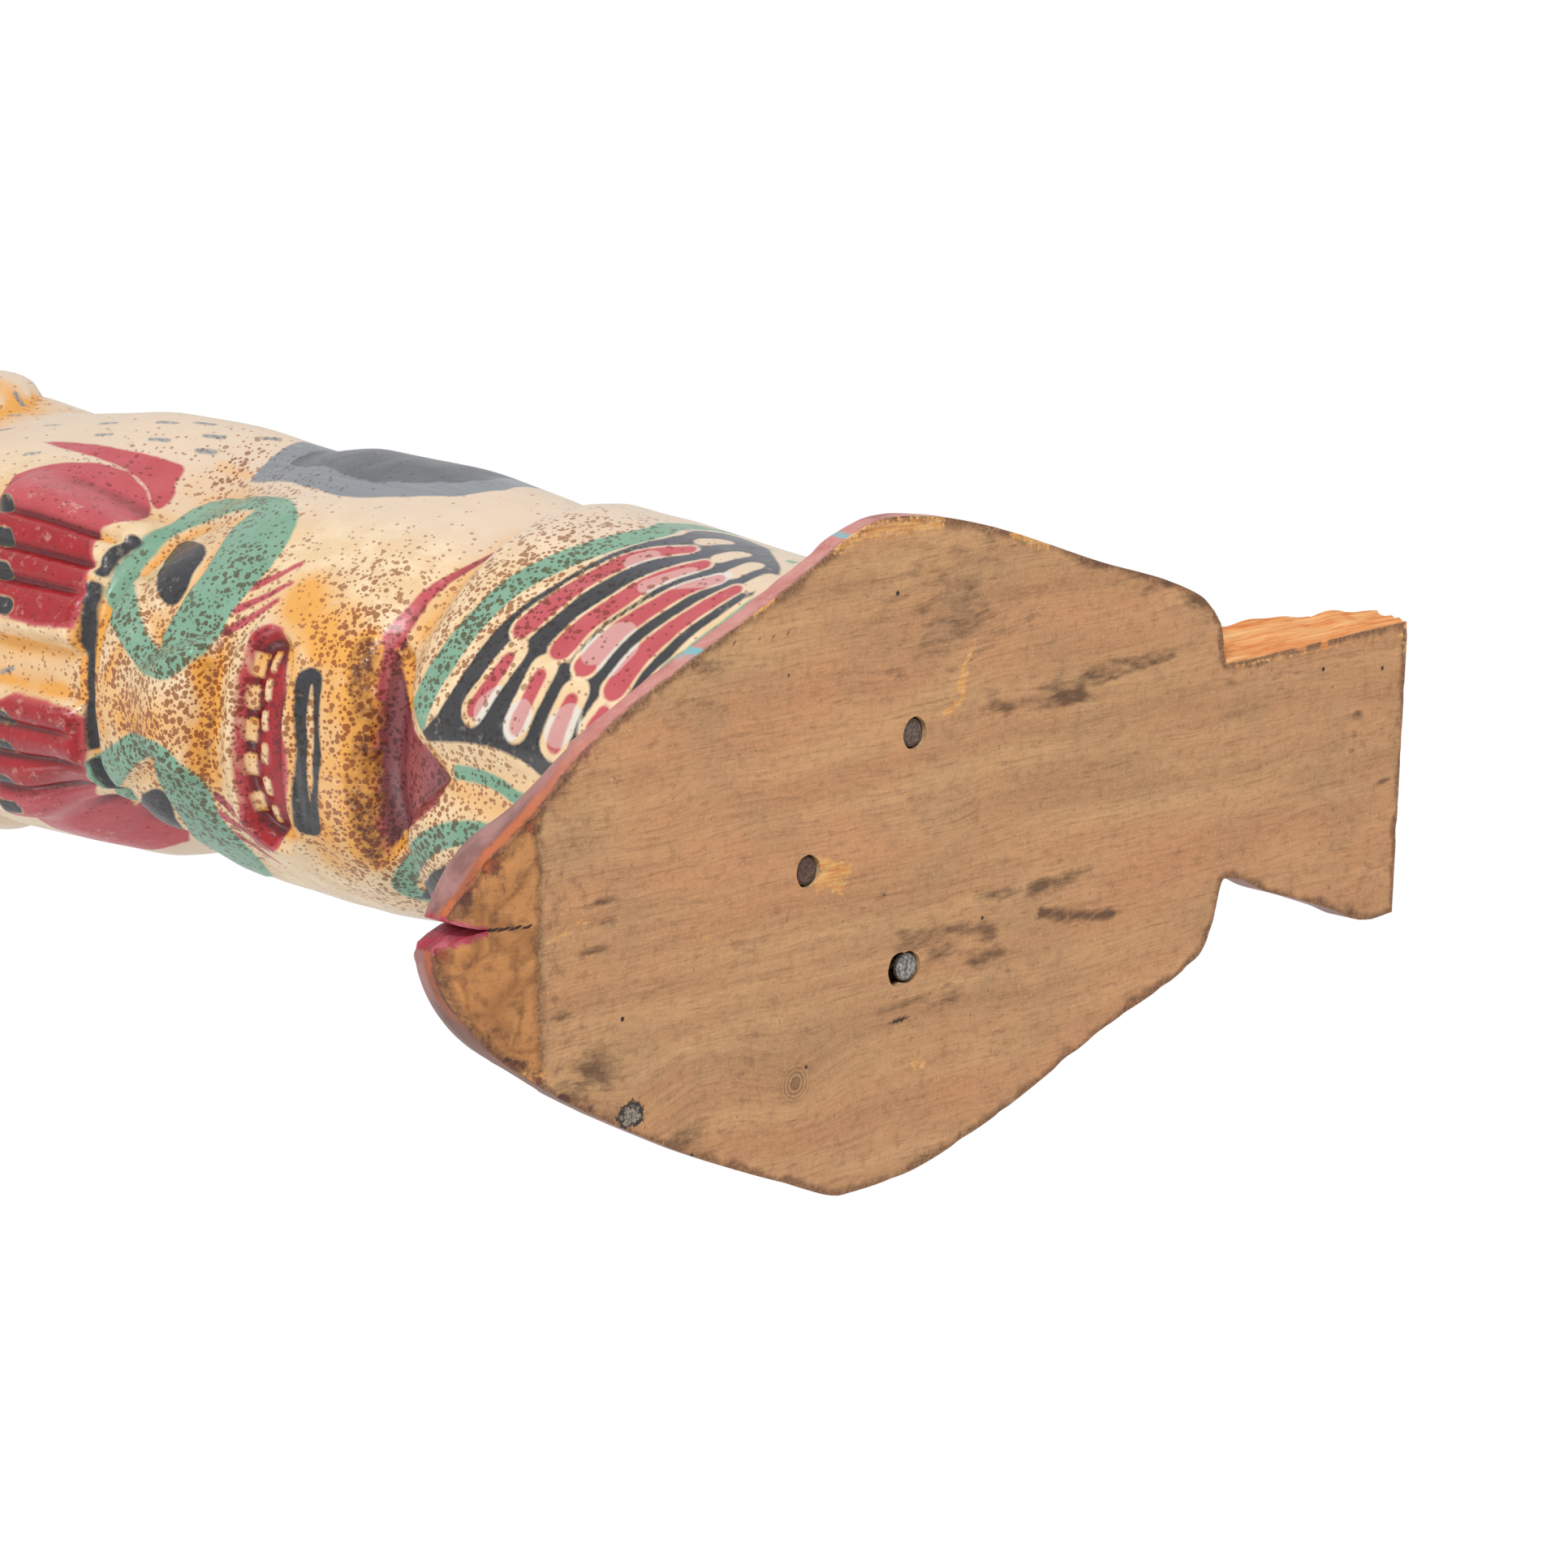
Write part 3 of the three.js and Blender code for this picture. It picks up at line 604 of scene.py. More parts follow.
layers = [pole_points(angle_grid, carved, height_grid)]
layer_u, layer_h = [u_grid], [h_grid]
for climb in climbs:
    ear = oval(np.degrees(np.abs(columns)), math.degrees(climb), EAR_ANGLE, EAR_CLIMB, 24, 28, 0.4)
    z = DOME_START + (DOME_HEIGHT - EAR_HEIGHT) * math.sin(climb) + EAR_HEIGHT * ear
    layers.append(pole_points(columns, carved[-1] * math.cos(climb) ** DOME_FULLNESS, z)[None])
    layer_u.append(u_grid[:1])
    layer_h.append(z[None])
points = np.vstack(layers)
u_all, h_all = np.vstack(layer_u), np.vstack(layer_h)
row_count, column_count = points.shape[:2]
crown = (POLE_X, POLE_Y, DOME_START + DOME_HEIGHT - EAR_HEIGHT)
all_points = np.vstack([points.reshape(-1, 3), [crown, (POLE_X, POLE_Y, POLE_FOOT)]])
low, high = (np.array(c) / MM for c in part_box("pole"))
all_points = np.clip(all_points, low, high)

grid = np.arange(row_count * column_count).reshape(row_count, column_count)
after = np.roll(grid, -1, axis=1)
quads = np.stack([grid[:-1], after[:-1], after[1:], grid[1:]], axis=-1).reshape(-1, 4)
crown_index = row_count * column_count
fans = [(a, b, crown_index) for a, b in zip(grid[-1], after[-1])]
fans += [(b, a, crown_index + 1) for a, b in zip(grid[0], after[0])]
pole_mesh = bpy.data.meshes.new("carved_pole")
pole_mesh.from_pydata((all_points * MM).tolist(), [], quads.tolist() + [tuple(map(int, f)) for f in fans])
shade_smooth(pole_mesh)
pole = new_object("carved_pole", pole_mesh)
print("carved_pole", len(pole_mesh.polygons), "faces")

# %% [markdown]
# Each colour gets one number per point. Where one shape has another cut from it, such as the green band
# round the eye, the larger of the two distances is the band: that is how solids are cut, done in two
# dimensions. Shapes of one colour are joined by taking the smallest distance.

# %% Distances for the green paint
def cut(shape, hole):
    return np.maximum(shape, -hole)


def joined(*shapes):
    return np.minimum.reduce(shapes)


u, h = u_all, h_all
eye_right = cut(outline_distance(u, h, brow_outer), outline_distance(u, h, brow_inner))
eye_left = cut(outline_distance(u, h, mirrored(brow_outer)), outline_distance(u, h, mirrored(brow_inner)))
wing_stripe = rounded(np.vstack([on_pole(WING_STRIPE), [(99, 102), (110, 103), (124, 101), (140, 96)]]))
left_stripe = rounded(np.vstack([
    [(-9, 60), (-11, 88)], on_pole(LEFT_STRIPE), [(-66, 162), (-95, 148), (-128, 128)],
]))
lower_stripe = rounded(on_pole(LOWER_STRIPE))
belly_stripe = rounded(np.vstack([on_pole(BELLY_STRIPE), [(-1, 70), (0, 50)]]))
green = joined(
    eye_right, eye_left,
    stroke_distance(u, h, wing_stripe, 10.5, 8.0),
    stroke_distance(u, h, left_stripe, 6.6, 7.0),
    stroke_distance(u, h, lower_stripe, 3.6),
    stroke_distance(u, h, belly_stripe, 4.2, 3.6),
    *[np.hypot(u - dot[0], h - dot[1]) - 1.9 for dot in on_pole(TIP_DOTS)],
)
print("green covers", round(float((green < 0).mean() * 100), 1), "% of the points")

# %% [markdown]
# A feather is cream because the black ground leaves it out. So we cut strokes from the ground, and lay a
# narrower red quill into each. Of the left wing only the top corner shows, so its feathers repeat one
# curve, a little lower each time.

# %% Distances for the feathers, black ground and red quills
feathers, quills = [], []
for path in SHORT_FEATHERS:
    path = rounded(on_pole(path))
    feathers.append(stroke_distance(u, h, path, 9.4, 9.8))
    quills.append(stroke_distance(u, h, path[1:], 4.6, 5.4))
for path in LONG_FEATHERS:
    path = rounded(on_pole(path))
    feathers.append(stroke_distance(u, h, path, 9.8, 6.4))
    quills.append(stroke_distance(u, h, path, 7.6, 4.8))
for centre in on_pole(END_FEATHERS):
    path = [centre + (-2.8, 0.8), centre + (2.8, -0.8)]
    feathers.append(stroke_distance(u, h, path, 6.2))
right_wing = cut(outline_distance(u, h, rounded_ring(wing_ground, 2)), joined(*feathers))

left_ground = np.vstack([
    on_pole(LEFT_GROUND), [(-62, 158), (-88, 146), (-100, 132), (-98, 80), (-70, 52), (-30, 62), (-16, 84)],
])
left_feathers, left_quills = [], []
for k in range(4):
    path = rounded([(-36, 106 - 15 * k), (-62, 112 - 16 * k), (-94, 106 - 15 * k)])
    left_feathers.append(stroke_distance(u, h, path, 10.0, 8.0))
    left_quills.append(stroke_distance(u, h, path, 5.0, 4.0))
left_wing = cut(outline_distance(u, h, rounded_ring(left_ground, 2)), joined(*left_feathers))
print("feathers", len(feathers), "right,", len(left_feathers), "left")

# %% [markdown]
# The small black marks are ovals and short strokes: nails on the paws, claws on hands and toes, and pupils.
# The chin ring is one broad stroke with a slit cut out of it.

# %% Distances for the other black strokes
BOTH_SIDES = (-1, 1)
CHIN_RING_WIDTH = 8.95


def nails_at(centres):
    return joined(*[stroke_distance(u, h, [c - (0, 2.6), c + (0, 5.5)], 5.6, 4.8) for c in centres])


def ovals(centres, height, half_u, half_h):
    """Distance to a row of ovals that lie at one height."""
    steep = min(half_u, half_h)
    return joined(*[(np.hypot((u - c) / half_u, (h - height) / half_h) - 1) * steep for c in centres])


nail_points = on_pole(PAW_NAILS)
print("nails at", nail_points.round(1).tolist())
paw_nails = nails_at(nail_points)
hand_claws = ovals(
    [s * (HAND_U + (k - 1.5) * FINGER_PITCH) for s in BOTH_SIDES for k in range(4)], 462, 2.2, 3.5)
toe_claws = ovals([s * (FOOT_U + (k - 1) * TOE_PITCH) for s in BOTH_SIDES for k in range(3)], 22, 3.4, 4.5)
upper_pupils = ovals([s * UPPER_EYE_U for s in BOTH_SIDES], UPPER_EYE_H, 5.6, 7.4)
dashes = []
for centre in on_pole(FUR_DASHES):
    dashes.append(stroke_distance(u, h, [centre + (-1.0, 2.6), centre + (1.0, -2.6)], 1.6))
ring = cut(
    stroke_distance(u, h, on_pole(CHIN_RING), CHIN_RING_WIDTH),
    outline_distance(u, h, on_pole(CHIN_SLIT)),
)
black = joined(
    outline_distance(u, h, pupil), outline_distance(u, h, mirrored(pupil)), upper_pupils,
    ring, right_wing, left_wing,
    # The forehead stroke is black standing for the shade in the groove under the paws: painted shade.
    stroke_distance(u, h, rounded(on_pole(FOREHEAD_SHADE_LINE)), 2.9),
    *[stroke_distance(u, h, rounded(on_pole(knob)), 3.2) for knob in FOREHEAD_KNOBS],
    paw_nails, hand_claws, toe_claws,
)
print("black covers", round(float((black < 0).mean() * 100), 1), "% of the points")

# %% [markdown]
# Red fills the mouth, the collar, the quills, the paws and the long wedge on the flank. Teeth and nails are
# left out of it, so that cream and black show there. The upper figure's eyes are the lower ones, smaller.

# %% Distances for the red paint, the sheen-grey side and the fur of the upper figure
TOOTH_ROUNDING = 0.7
RED_ABOVE_NAILS = 9.5
UPPER_EYE_SCALE = 0.72


def tooth_mark(centre, half_u, half_h):
    """Distance to a tooth: a box with rounded corners."""
    out_u = np.abs(u - centre[0]) - half_u + TOOTH_ROUNDING
    out_h = np.abs(h - centre[1]) - half_h + TOOTH_ROUNDING
    outside = np.hypot(np.maximum(out_u, 0), np.maximum(out_h, 0))
    return outside + np.minimum(np.maximum(out_u, out_h), 0) - TOOTH_ROUNDING


mouth_area = outline_distance(u, h, rounded_ring(on_pole(MOUTH_RED), 2))
collar_area = outline_distance(u, h, on_pole(COLLAR_V))
teeth = joined(
    *[tooth_mark(t, 3.5, 1.7) for t in upper_teeth],
    *[tooth_mark(t, 3.1, 1.4) for t in lower_teeth],
)
paw_fill = joined(
    outline_distance(u, h, np.vstack([nail_points[:4] + (0, RED_ABOVE_NAILS), paw_right[::-1][:-1]])),
    outline_distance(u, h, np.vstack([
        paw_left, [(-52, 278), (-80, 292), (-104, 318), (-90, 346)],
        nail_points[:3:-1] + (0, RED_ABOVE_NAILS),
    ])),
)
collar_line = rounded(np.vstack([on_pole(COLLAR_LINE), [(84, 157), (100, 156)]]))
hands = ovals([s * HAND_U for s in BOTH_SIDES], HAND_H, 16, 17)
feet_red = ovals([s * FOOT_U for s in BOTH_SIDES], 30, 20, 14)
upper_mouth = stroke_distance(u, h, [(-17, UPPER_MOUTH_H), (17, UPPER_MOUTH_H)], 13)
upper_teeth_row = ovals([k * 7.0 for k in range(-2, 3)], UPPER_MOUTH_H, 2.8, 3.6)
ear_red = ovals([s * math.radians(EAR_ANGLE) * ARC for s in BOTH_SIDES], 574, 10, 11)
whiskers = [rounded(on_pole(w)) for w in WHISKERS]
red = joined(
    cut(mouth_area, teeth),
    cut(upper_mouth, upper_teeth_row), ear_red,
    *[stroke_distance(u, h, w, 3.4, 2.0) for w in whiskers],
    *[stroke_distance(u, h, mirrored(w), 3.4, 2.0) for w in whiskers],
    collar_area, stroke_distance(u, h, collar_line, 5.0, 0.9),
    *quills, *left_quills,
    outline_distance(u, h, flank_red),
    cut(paw_fill, paw_nails), cut(hands, hand_claws), cut(feet_red, toe_claws),
)
upper_green = []
for s in BOTH_SIDES:
    outer, inner = [
        ((shape - brow_outer.mean(axis=0)) * UPPER_EYE_SCALE + (UPPER_EYE_U, UPPER_EYE_H)) * (s, 1)
        for shape in (brow_outer, brow_inner)
    ]
    upper_green.append(cut(outline_distance(u, h, outer), outline_distance(u, h, inner)))
green = joined(green, *upper_green)
# The side patch and the fur dashes take the grey of painted sheen on black paint.
grey = joined(outline_distance(u, h, side_patch), outline_distance(u, h, mirrored(side_patch)), *dashes)
print("red covers", round(float((red < 0).mean() * 100), 1), "% of the points")

# %% [markdown]
# Varnish ran into the hollows and dried there dark and orange, and it rubbed thin on the ridges. A hollow is
# a point that lies deeper than the average of its neighbourhood, so we blur the radius and subtract. On the
# red paint the same depth darkens the creases almost to black, which is painted shade. A few stains that the
# photograph shows by themselves, under the nose and the chin, are laid in as soft strokes, and three more
# strokes are painted shade: one along the groove under the paws and two under the nose bridge.

# %% Hollows, stains, painted shade and flecks
def blurred(values, reach):
    out = values
    for axis in (0, 1):
        kernel = np.exp(-0.5 * (np.arange(-2 * reach, 2 * reach + 1) / reach) ** 2)
        kernel /= kernel.sum()
        padded = np.concatenate([
            np.flip(np.take(out, range(1, 2 * reach + 1), axis), axis), out,
            np.flip(np.take(out, range(out.shape[axis] - 2 * reach - 1, out.shape[axis] - 1), axis), axis),
        ], axis)
        out = np.apply_along_axis(lambda line: np.convolve(line, kernel, "valid"), axis, padded)
    return out


depth = np.vstack([blurred(carved, 5) - carved, np.zeros((len(climbs), column_count))])
# Painted shade among these strokes: the one along the groove under the paws and the two across the underside
# of the nose bridge. The others are stains.
STAIN_AND_SHADE_STROKES = [
    ([(261, 822), (264, 870), (256, 945)], 2.6, 1.0),
    ([(450, 800), (450, 900), (448, 1000), (458, 1055)], 5.6, 1.25), ([(272, 574), (306, 586)], 2.4, 0.34),
    ([(104, 716), (102, 770), (104, 860)], 1.8, 0.9), ([(375, 735), (410, 800)], 9.0, 0.66),
    ([(150, 800), (120, 860), (128, 900)], 4.0, 0.42), ([(150, 890), (190, 895)], 6.0, 0.5),
    ([(420, 770), (418, 900), (414, 1060)], 9.0, 0.46), ([(140, 870), (210, 900)], 9.0, 0.34),
    ([(150, 940), (170, 1010)], 3.0, 0.4), ([(365, 800), (366, 900), (366, 1030)], 3.0, 0.42),
    ([(240, 960), (262, 1020)], 5.0, 0.3), ([(520, 850), (570, 770), (640, 715)], 4.0, 0.3),
    ([(540, 945), (620, 1000)], 6.0, 0.3), ([(392, 548), (412, 556)], 2.4, 0.6),
    ([(2, 475), (12, 482)], 4.0, 0.5),
]
turn_all = np.degrees(np.abs(u)) / ARC
stain_and_shade = np.clip(depth * 0.26, 0, 0.6) * (1 - 0.8 * smooth(98, 112, turn_all))
for path, reach, strength in STAIN_AND_SHADE_STROKES:
    d = stroke_distance(u, h, on_pole(path), 0.2)
    stain_and_shade = np.maximum(stain_and_shade, strength * np.exp(-np.maximum(d, 0) ** 2 / reach**2))
print("stained points", int((stain_and_shade > 0.3).sum()))

# %% [markdown]
# Some numbers steer the varnish: how many drops lie at a place, where the red was painted over and still
# looks wet, where white was rubbed into the feathers, and where the paint is worn thin.

# %% Flecks, wet paint and rubbed places
FLECK_SPOTS = [
    ((460, 720), 20, 1.0), ((445, 780), 20, 1.3), ((250, 870), 26, 1.3), ((150, 770), 20, 1.2),
    ((250, 800), 22, 1.4), ((180, 885), 34, 1.7), ((150, 830), 20, 1.3), ((280, 578), 14, 1.2),
    ((520, 1040), 30, 1.5), ((508, 1085), 26, 1.5), ((440, 1020), 26, 1.3), ((250, 1000), 26, 1.2),
    ((520, 830), 20, 0.9), ((140, 580), 20, 0.6), ((580, 760), 36, 1.2), ((680, 700), 36, 1.1),
    ((300, 622), 30, 0.9), ((600, 960), 16, 0.9), ((366, 900), 20, 1.2), ((300, 700), 18, 1.1),
    ((110, 840), 12, 1.3), ((430, 900), 20, 1.2),
]
flecks = 0.16 - 0.13 * smooth(58, 78, np.abs(u))
flecks = flecks + np.clip(depth * 0.25, 0, 0.4) * (1 - smooth(98, 112, turn_all))
for pixel, reach, strength in FLECK_SPOTS:
    spot = on_pole([pixel])[0]
    flecks = np.maximum(flecks, strength * np.exp(-((u - spot[0]) ** 2 + (h - spot[1]) ** 2) / reach**2))
flecks = np.where(h > 300, np.minimum(flecks, 0.35), flecks)
toward_front = 1 - smooth(38, 52, np.abs(u - PAW_GAP))
collar_rim = np.clip(1 - np.abs(collar_area + 2.5) / 2.5, 0, 1)
wet = np.maximum.reduce([
    np.clip(-mouth_area / 2.4, 0, 1), toward_front * np.clip(-paw_fill / 2.0, 0, 1), 0.55 * collar_rim,
])
WHITE_RUBS = [
    ([(735, 800), (765, 782)], 7), ([(752, 818), (770, 800)], 6), ([(800, 722), (848, 706)], 4),
    ([(838, 716), (888, 712)], 5), ([(782, 692), (800, 686)], 4), ([(598, 876), (610, 866)], 7),
    ([(628, 892), (640, 884)], 7), ([(688, 900), (700, 888)], 7),
]
rubbed_white = np.zeros_like(u)
for path, width in WHITE_RUBS:
    reached = 1.4 - stroke_distance(u, h, on_pole(path), width) / 1.5
    rubbed_white = np.maximum(rubbed_white, np.clip(reached, 0, 1.4))
mauve = np.clip(-collar_area / 1.5, 0, 1)
worn = np.exp(-((u - 62) ** 2 / 14**2 + (h - 190) ** 2 / 22**2)) + np.clip(-depth * 0.5, 0, 0.5)
print("deepest hollow", round(float(depth.max()), 2), "mm")

# %% [markdown]
# A mesh can carry as many numbers per point as we like, each under a name, and the shader asks for them by
# that name. The two points that close the ends, crown and foot, lie far outside every painted edge.

# %% Write the numbers on the mesh
FAR_OUTSIDE = 20.0


def write_number(mesh, name, values):
    layer = mesh.attributes.new(name, "FLOAT", "POINT")
    layer.data.foreach_set("value", values.astype(np.float32))


pole_numbers = {
    "green_edge": green, "red_edge": red, "black_edge": black, "sheen_grey_edge": grey,
    "stain_and_shade": stain_and_shade, "flecks": flecks, "worn": worn, "hollow": depth, "wet": wet,
    "white": rubbed_white, "mauve": mauve, "side": smooth(58, 84, np.abs(u)),
}
for name, values in pole_numbers.items():
    at_ends = FAR_OUTSIDE if name.endswith("edge") else 0.0
    write_number(pole_mesh, name, np.append(values.ravel(), [at_ends, at_ends]))
print("numbers of the pole", list(pole_numbers))

# %% [markdown]
# A material is a chain of small sums, and written out node by node it is hard to read. So we keep a recipe:
# an object whose methods each add one node, link what they're given and hand back the result. Sizes are
# said in millimetres, the way one would describe the real finish, and turned into Blender's scale here.

# %% Recipe: a short way to write node materials
def paint(red_byte, green_byte, blue_byte):
    """A colour as seen on screen, turned into the linear values that shaders use."""
    share = np.array([red_byte, green_byte, blue_byte]) / 255
    linear = np.where(share <= 0.04045, share / 12.92, ((share + 0.055) / 1.055) ** 2.4)
    return (*linear.tolist(), 1.0)


class Recipe:
    def __init__(self, name):
        self.material = bpy.data.materials.new(name)
        self.material.use_nodes = True
        self.tree = self.material.node_tree
        self.shader = self.tree.nodes["Principled BSDF"]
        self.place = self.add("ShaderNodeTexCoord").outputs["Object"]

    def add(self, kind, inputs=(), **settings):
        node = self.tree.nodes.new(kind)
        for key, value in settings.items():
            setattr(node, key, value)
        for key, value in dict(inputs).items():
            self.feed(node.inputs[key], value)
        return node

    def feed(self, socket, value):
        if isinstance(value, bpy.types.NodeSocket):
            self.tree.links.new(value, socket)
        else:
            socket.default_value = value

    def number(self, name):
        return self.add("ShaderNodeAttribute", attribute_name=name).outputs["Fac"]

    def sum(self, operation, a, b=0.0, c=0.0):
        return self.add("ShaderNodeMath", {0: a, 1: b, 2: c}, operation=operation).outputs[0]

    def ramp(self, value, low, high, out_low=0.0, out_high=1.0):
        inputs = {"Value": value, "From Min": low, "From Max": high, "To Min": out_low, "To Max": out_high}
        return self.add("ShaderNodeMapRange", inputs).outputs[0]

    def stretched(self, x, y, z):
        """The place, with each direction multiplied, so that a pattern gets longer where it is small."""
        return self.add("ShaderNodeMapping", {"Vector": self.place, "Scale": (x, y, z)}).outputs[0]

    def clouds(self, size, detail=3.0, roughness=0.55, where=None):
        inputs = {"Vector": where or self.place, "Scale": 1 / (size * MM), "Detail": detail,
                  "Roughness": roughness}
        return self.add("ShaderNodeTexNoise", inputs).outputs["Fac"]

    def cells(self, size, where=None, feature="F1", randomness=1.0):
        inputs = {"Vector": where or self.place, "Scale": 1 / (size * MM), "Randomness": randomness}
        return self.add("ShaderNodeTexVoronoi", inputs, feature=feature)

    def mixed(self, share, a, b, way="MIX"):
        node = self.add("ShaderNodeMix", data_type="RGBA", blend_type=way)
        for index, value in ((0, share), (6, a), (7, b)):
            self.feed(node.inputs[index], value)
        return node.outputs[2]

    def bumps(self, *layers):
        """Heights stacked as bumps; each layer is a height and how many millimetres it stands for."""
        normal = None
        for height, rise in layers:
            node = self.add("ShaderNodeBump", {"Height": height, "Distance": rise * MM, "Strength": 1.0})
            if normal is not None:
                self.feed(node.inputs["Normal"], normal)
            normal = node.outputs[0]
        return normal

    def finish(self, **sockets):
        for key, value in sockets.items():
            self.feed(self.shader.inputs[key.replace("_", " ").title().replace("Ior", "IOR")], value)
        return self.material


print("paint(255, 255, 255) is", paint(255, 255, 255))

# %% [markdown]
# The paint itself. Cream comes first, because the carver primed the whole log, and then the colours in the
# order in which they lie over each other. A brushed edge wavers, so a fine noise shifts every distance by
# half a millimetre before it is cut. Varnish over all of it is thick, shiny and pebbled with dust.

# %% Paint and varnish of the pole
coat = Recipe("painted_wood")
waver = coat.sum("MULTIPLY_ADD", coat.clouds(4, 3), 1.0, -0.5)


def brushed(name, softness=0.45, shift=0.0):
    """One where the paint of that name lies, and zero outside it."""
    d = coat.sum("ADD", coat.number(name), waver)
    return coat.ramp(coat.sum("ADD", d, shift), softness, -softness)


broad, middle, fine = coat.clouds(45, 2), coat.clouds(11, 4), coat.clouds(2.2, 3)
strands = coat.clouds(1.6, 4, 0.6, coat.stretched(1, 1, 0.06))
cream = coat.mixed(broad, paint(232, 202, 158), paint(222, 184, 134))
cream = coat.mixed(coat.ramp(middle, 0.42, 0.72), cream, paint(242, 218, 180))
cream = coat.mixed(coat.ramp(strands, 0.56, 0.75, 0, 0.35), cream, paint(208, 164, 114))
cream = coat.mixed(coat.ramp(coat.number("side"), 0, 1, 0, 0.8), cream, paint(222, 200, 178))
# This number turns the cream orange, and dark where it is strong: varnish in the hollows, and painted shade
# under the nose bridge and along the paws' lower edge.
soaked_and_shaded = coat.sum("MULTIPLY", coat.number("stain_and_shade"), coat.ramp(middle, 0.25, 0.65, 0.55, 1.25))
cream = coat.mixed(coat.ramp(soaked_and_shaded, 0.08, 0.5), cream, paint(230, 164, 72))
streaks = coat.ramp(coat.clouds(2.4, 4, 0.65), 0.4, 0.62, 0.35, 1.0)
cream = coat.mixed(coat.sum("MULTIPLY", coat.ramp(soaked_and_shaded, 0.74, 1.2), streaks), cream, paint(120, 62, 18))
whitened = coat.sum("ADD", coat.number("white"), coat.ramp(middle, 0, 1, -0.6, 0.2))
cream = coat.mixed(coat.ramp(whitened, 0.3, 0.6), cream, paint(222, 214, 200))

# The black patch and the fur dashes on the side are drawn grey with a darker core: painted sheen on black
# paint.
sheen_grey = coat.mixed(strands, paint(104, 110, 120), paint(150, 153, 154))
deep_grey = coat.sum("ADD", coat.number("sheen_grey_edge"), coat.ramp(middle, 0, 1, -3.0, 3.0))
sheen_grey = coat.mixed(coat.ramp(deep_grey, -9.0, -10.0, 0, 0.8), sheen_grey, paint(74, 76, 82))
red_paint = coat.mixed(middle, paint(176, 56, 66), paint(202, 92, 98))
red_paint = coat.mixed(coat.ramp(coat.number("wet"), 0.25, 0.8), red_paint, coat.mixed(
    middle, paint(176, 14, 30), paint(142, 4, 16)))
# Red darkens almost to black where the surface lies deeper than around it: painted shade in the digits'
# grooves, the recessed mouth and the collar.
red_paint = coat.mixed(coat.ramp(coat.number("hollow"), 0.5, 1.5, 0, 0.85), red_paint, paint(88, 2, 10))
red_paint = coat.mixed(coat.ramp(whitened, 0.3, 0.6, 0, 0.45), red_paint, paint(226, 200, 190))
red_paint = coat.mixed(coat.sum("MULTIPLY", coat.number("mauve"), 0.7), red_paint, paint(132, 72, 78))
green_paint = coat.mixed(middle, paint(100, 146, 120), paint(136, 176, 150))
black_paint = coat.mixed(middle, paint(30, 30, 34), paint(58, 58, 62))
# Black turns bluish grey toward the sides: painted sheen.
black_paint = coat.mixed(coat.number("side"), black_paint, paint(82, 84, 92))
colour = cream
for name, tint in {
    "sheen_grey_edge": sheen_grey, "red_edge": red_paint, "green_edge": green_paint, "black_edge": black_paint,
}.items():
    colour = coat.mixed(brushed(name), colour, tint)
rubbed = coat.sum("MULTIPLY", coat.ramp(coat.clouds(3.5, 5, 0.7), 0.56, 0.66), coat.number("worn"))
colour = coat.mixed(coat.sum("MULTIPLY", rubbed, 0.6), colour, paint(232, 214, 188))

print("layers of paint take", len(coat.tree.nodes), "nodes")

# %% [markdown]
# Drops of old varnish lie over every colour. A cell pattern gives each drop its own place, size and luck,
# and the number for flecks says how many of them are taken. Two sizes over each other look less regular
# than one.

# %% Speckles of old varnish over every colour
SPECK_TINT = (0.36, 0.16, 0.06, 1.0)
wanted_share = coat.number("flecks")
dots = []
for size, least, part, radius in ((1.3, 0.02, 0.8, 0.36), (2.1, -0.25, 0.9, 0.41)):
    drops = coat.cells(size, coat.stretched(1, 1, 0.85))
    luck = coat.add("ShaderNodeSeparateColor", {0: drops.outputs["Color"]})
    taken = coat.sum("LESS_THAN", luck.outputs[0], coat.sum("MULTIPLY_ADD", wanted_share, part, least))
    edge = coat.sum("MULTIPLY_ADD", luck.outputs[1], 0.2, radius - 0.1)
    reach = coat.sum("ADD", drops.outputs["Distance"], coat.ramp(fine, 0.3, 0.7, -0.07, 0.07))
    dots.append(coat.sum("MULTIPLY", taken, coat.ramp(coat.sum("SUBTRACT", reach, edge), 0.05, -0.05)))
speck = coat.sum("MULTIPLY", coat.sum("MAXIMUM", *dots), coat.ramp(wanted_share, 0.1, 1.2, 0.62, 0.92))
colour = coat.mixed(speck, colour, SPECK_TINT, "MULTIPLY")
pebbles = coat.cells(2.6)
gloss = coat.sum("MAXIMUM", coat.ramp(coat.number("wet"), 0.3, 0.8), coat.ramp(soaked_and_shaded, 0.5, 0.9))
matt = coat.ramp(coat.clouds(7, 3), 0.3, 0.7, 0.34, 0.52)
painted_pole = coat.finish(
    base_color=colour,
    roughness=coat.sum("MULTIPLY_ADD", gloss, -0.14, matt),
    normal=coat.bumps((strands, 0.10), (coat.clouds(6, 3), 0.5), (pebbles.outputs["Distance"], 0.10)),
    specular_ior_level=0.5,
    coat_weight=0.25,
    coat_roughness=0.18,
)
pole_mesh.materials.append(painted_pole)
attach(pole, "root")
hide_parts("pole")
print("painted_wood with", len(coat.tree.nodes), "nodes")

# %% [markdown]
# The base board is a plank sawn and carved as a flat fish: a notched snout, a body, a narrow neck and a tail
# whose far lobe has broken off. A plank that changes its width all the time is easy to loft: for each place
# along Y we read both edges from a table and build one closed section. The underside gets many points,
# since it is what the photograph shows, and each point knows how far it lies from the board's rim.

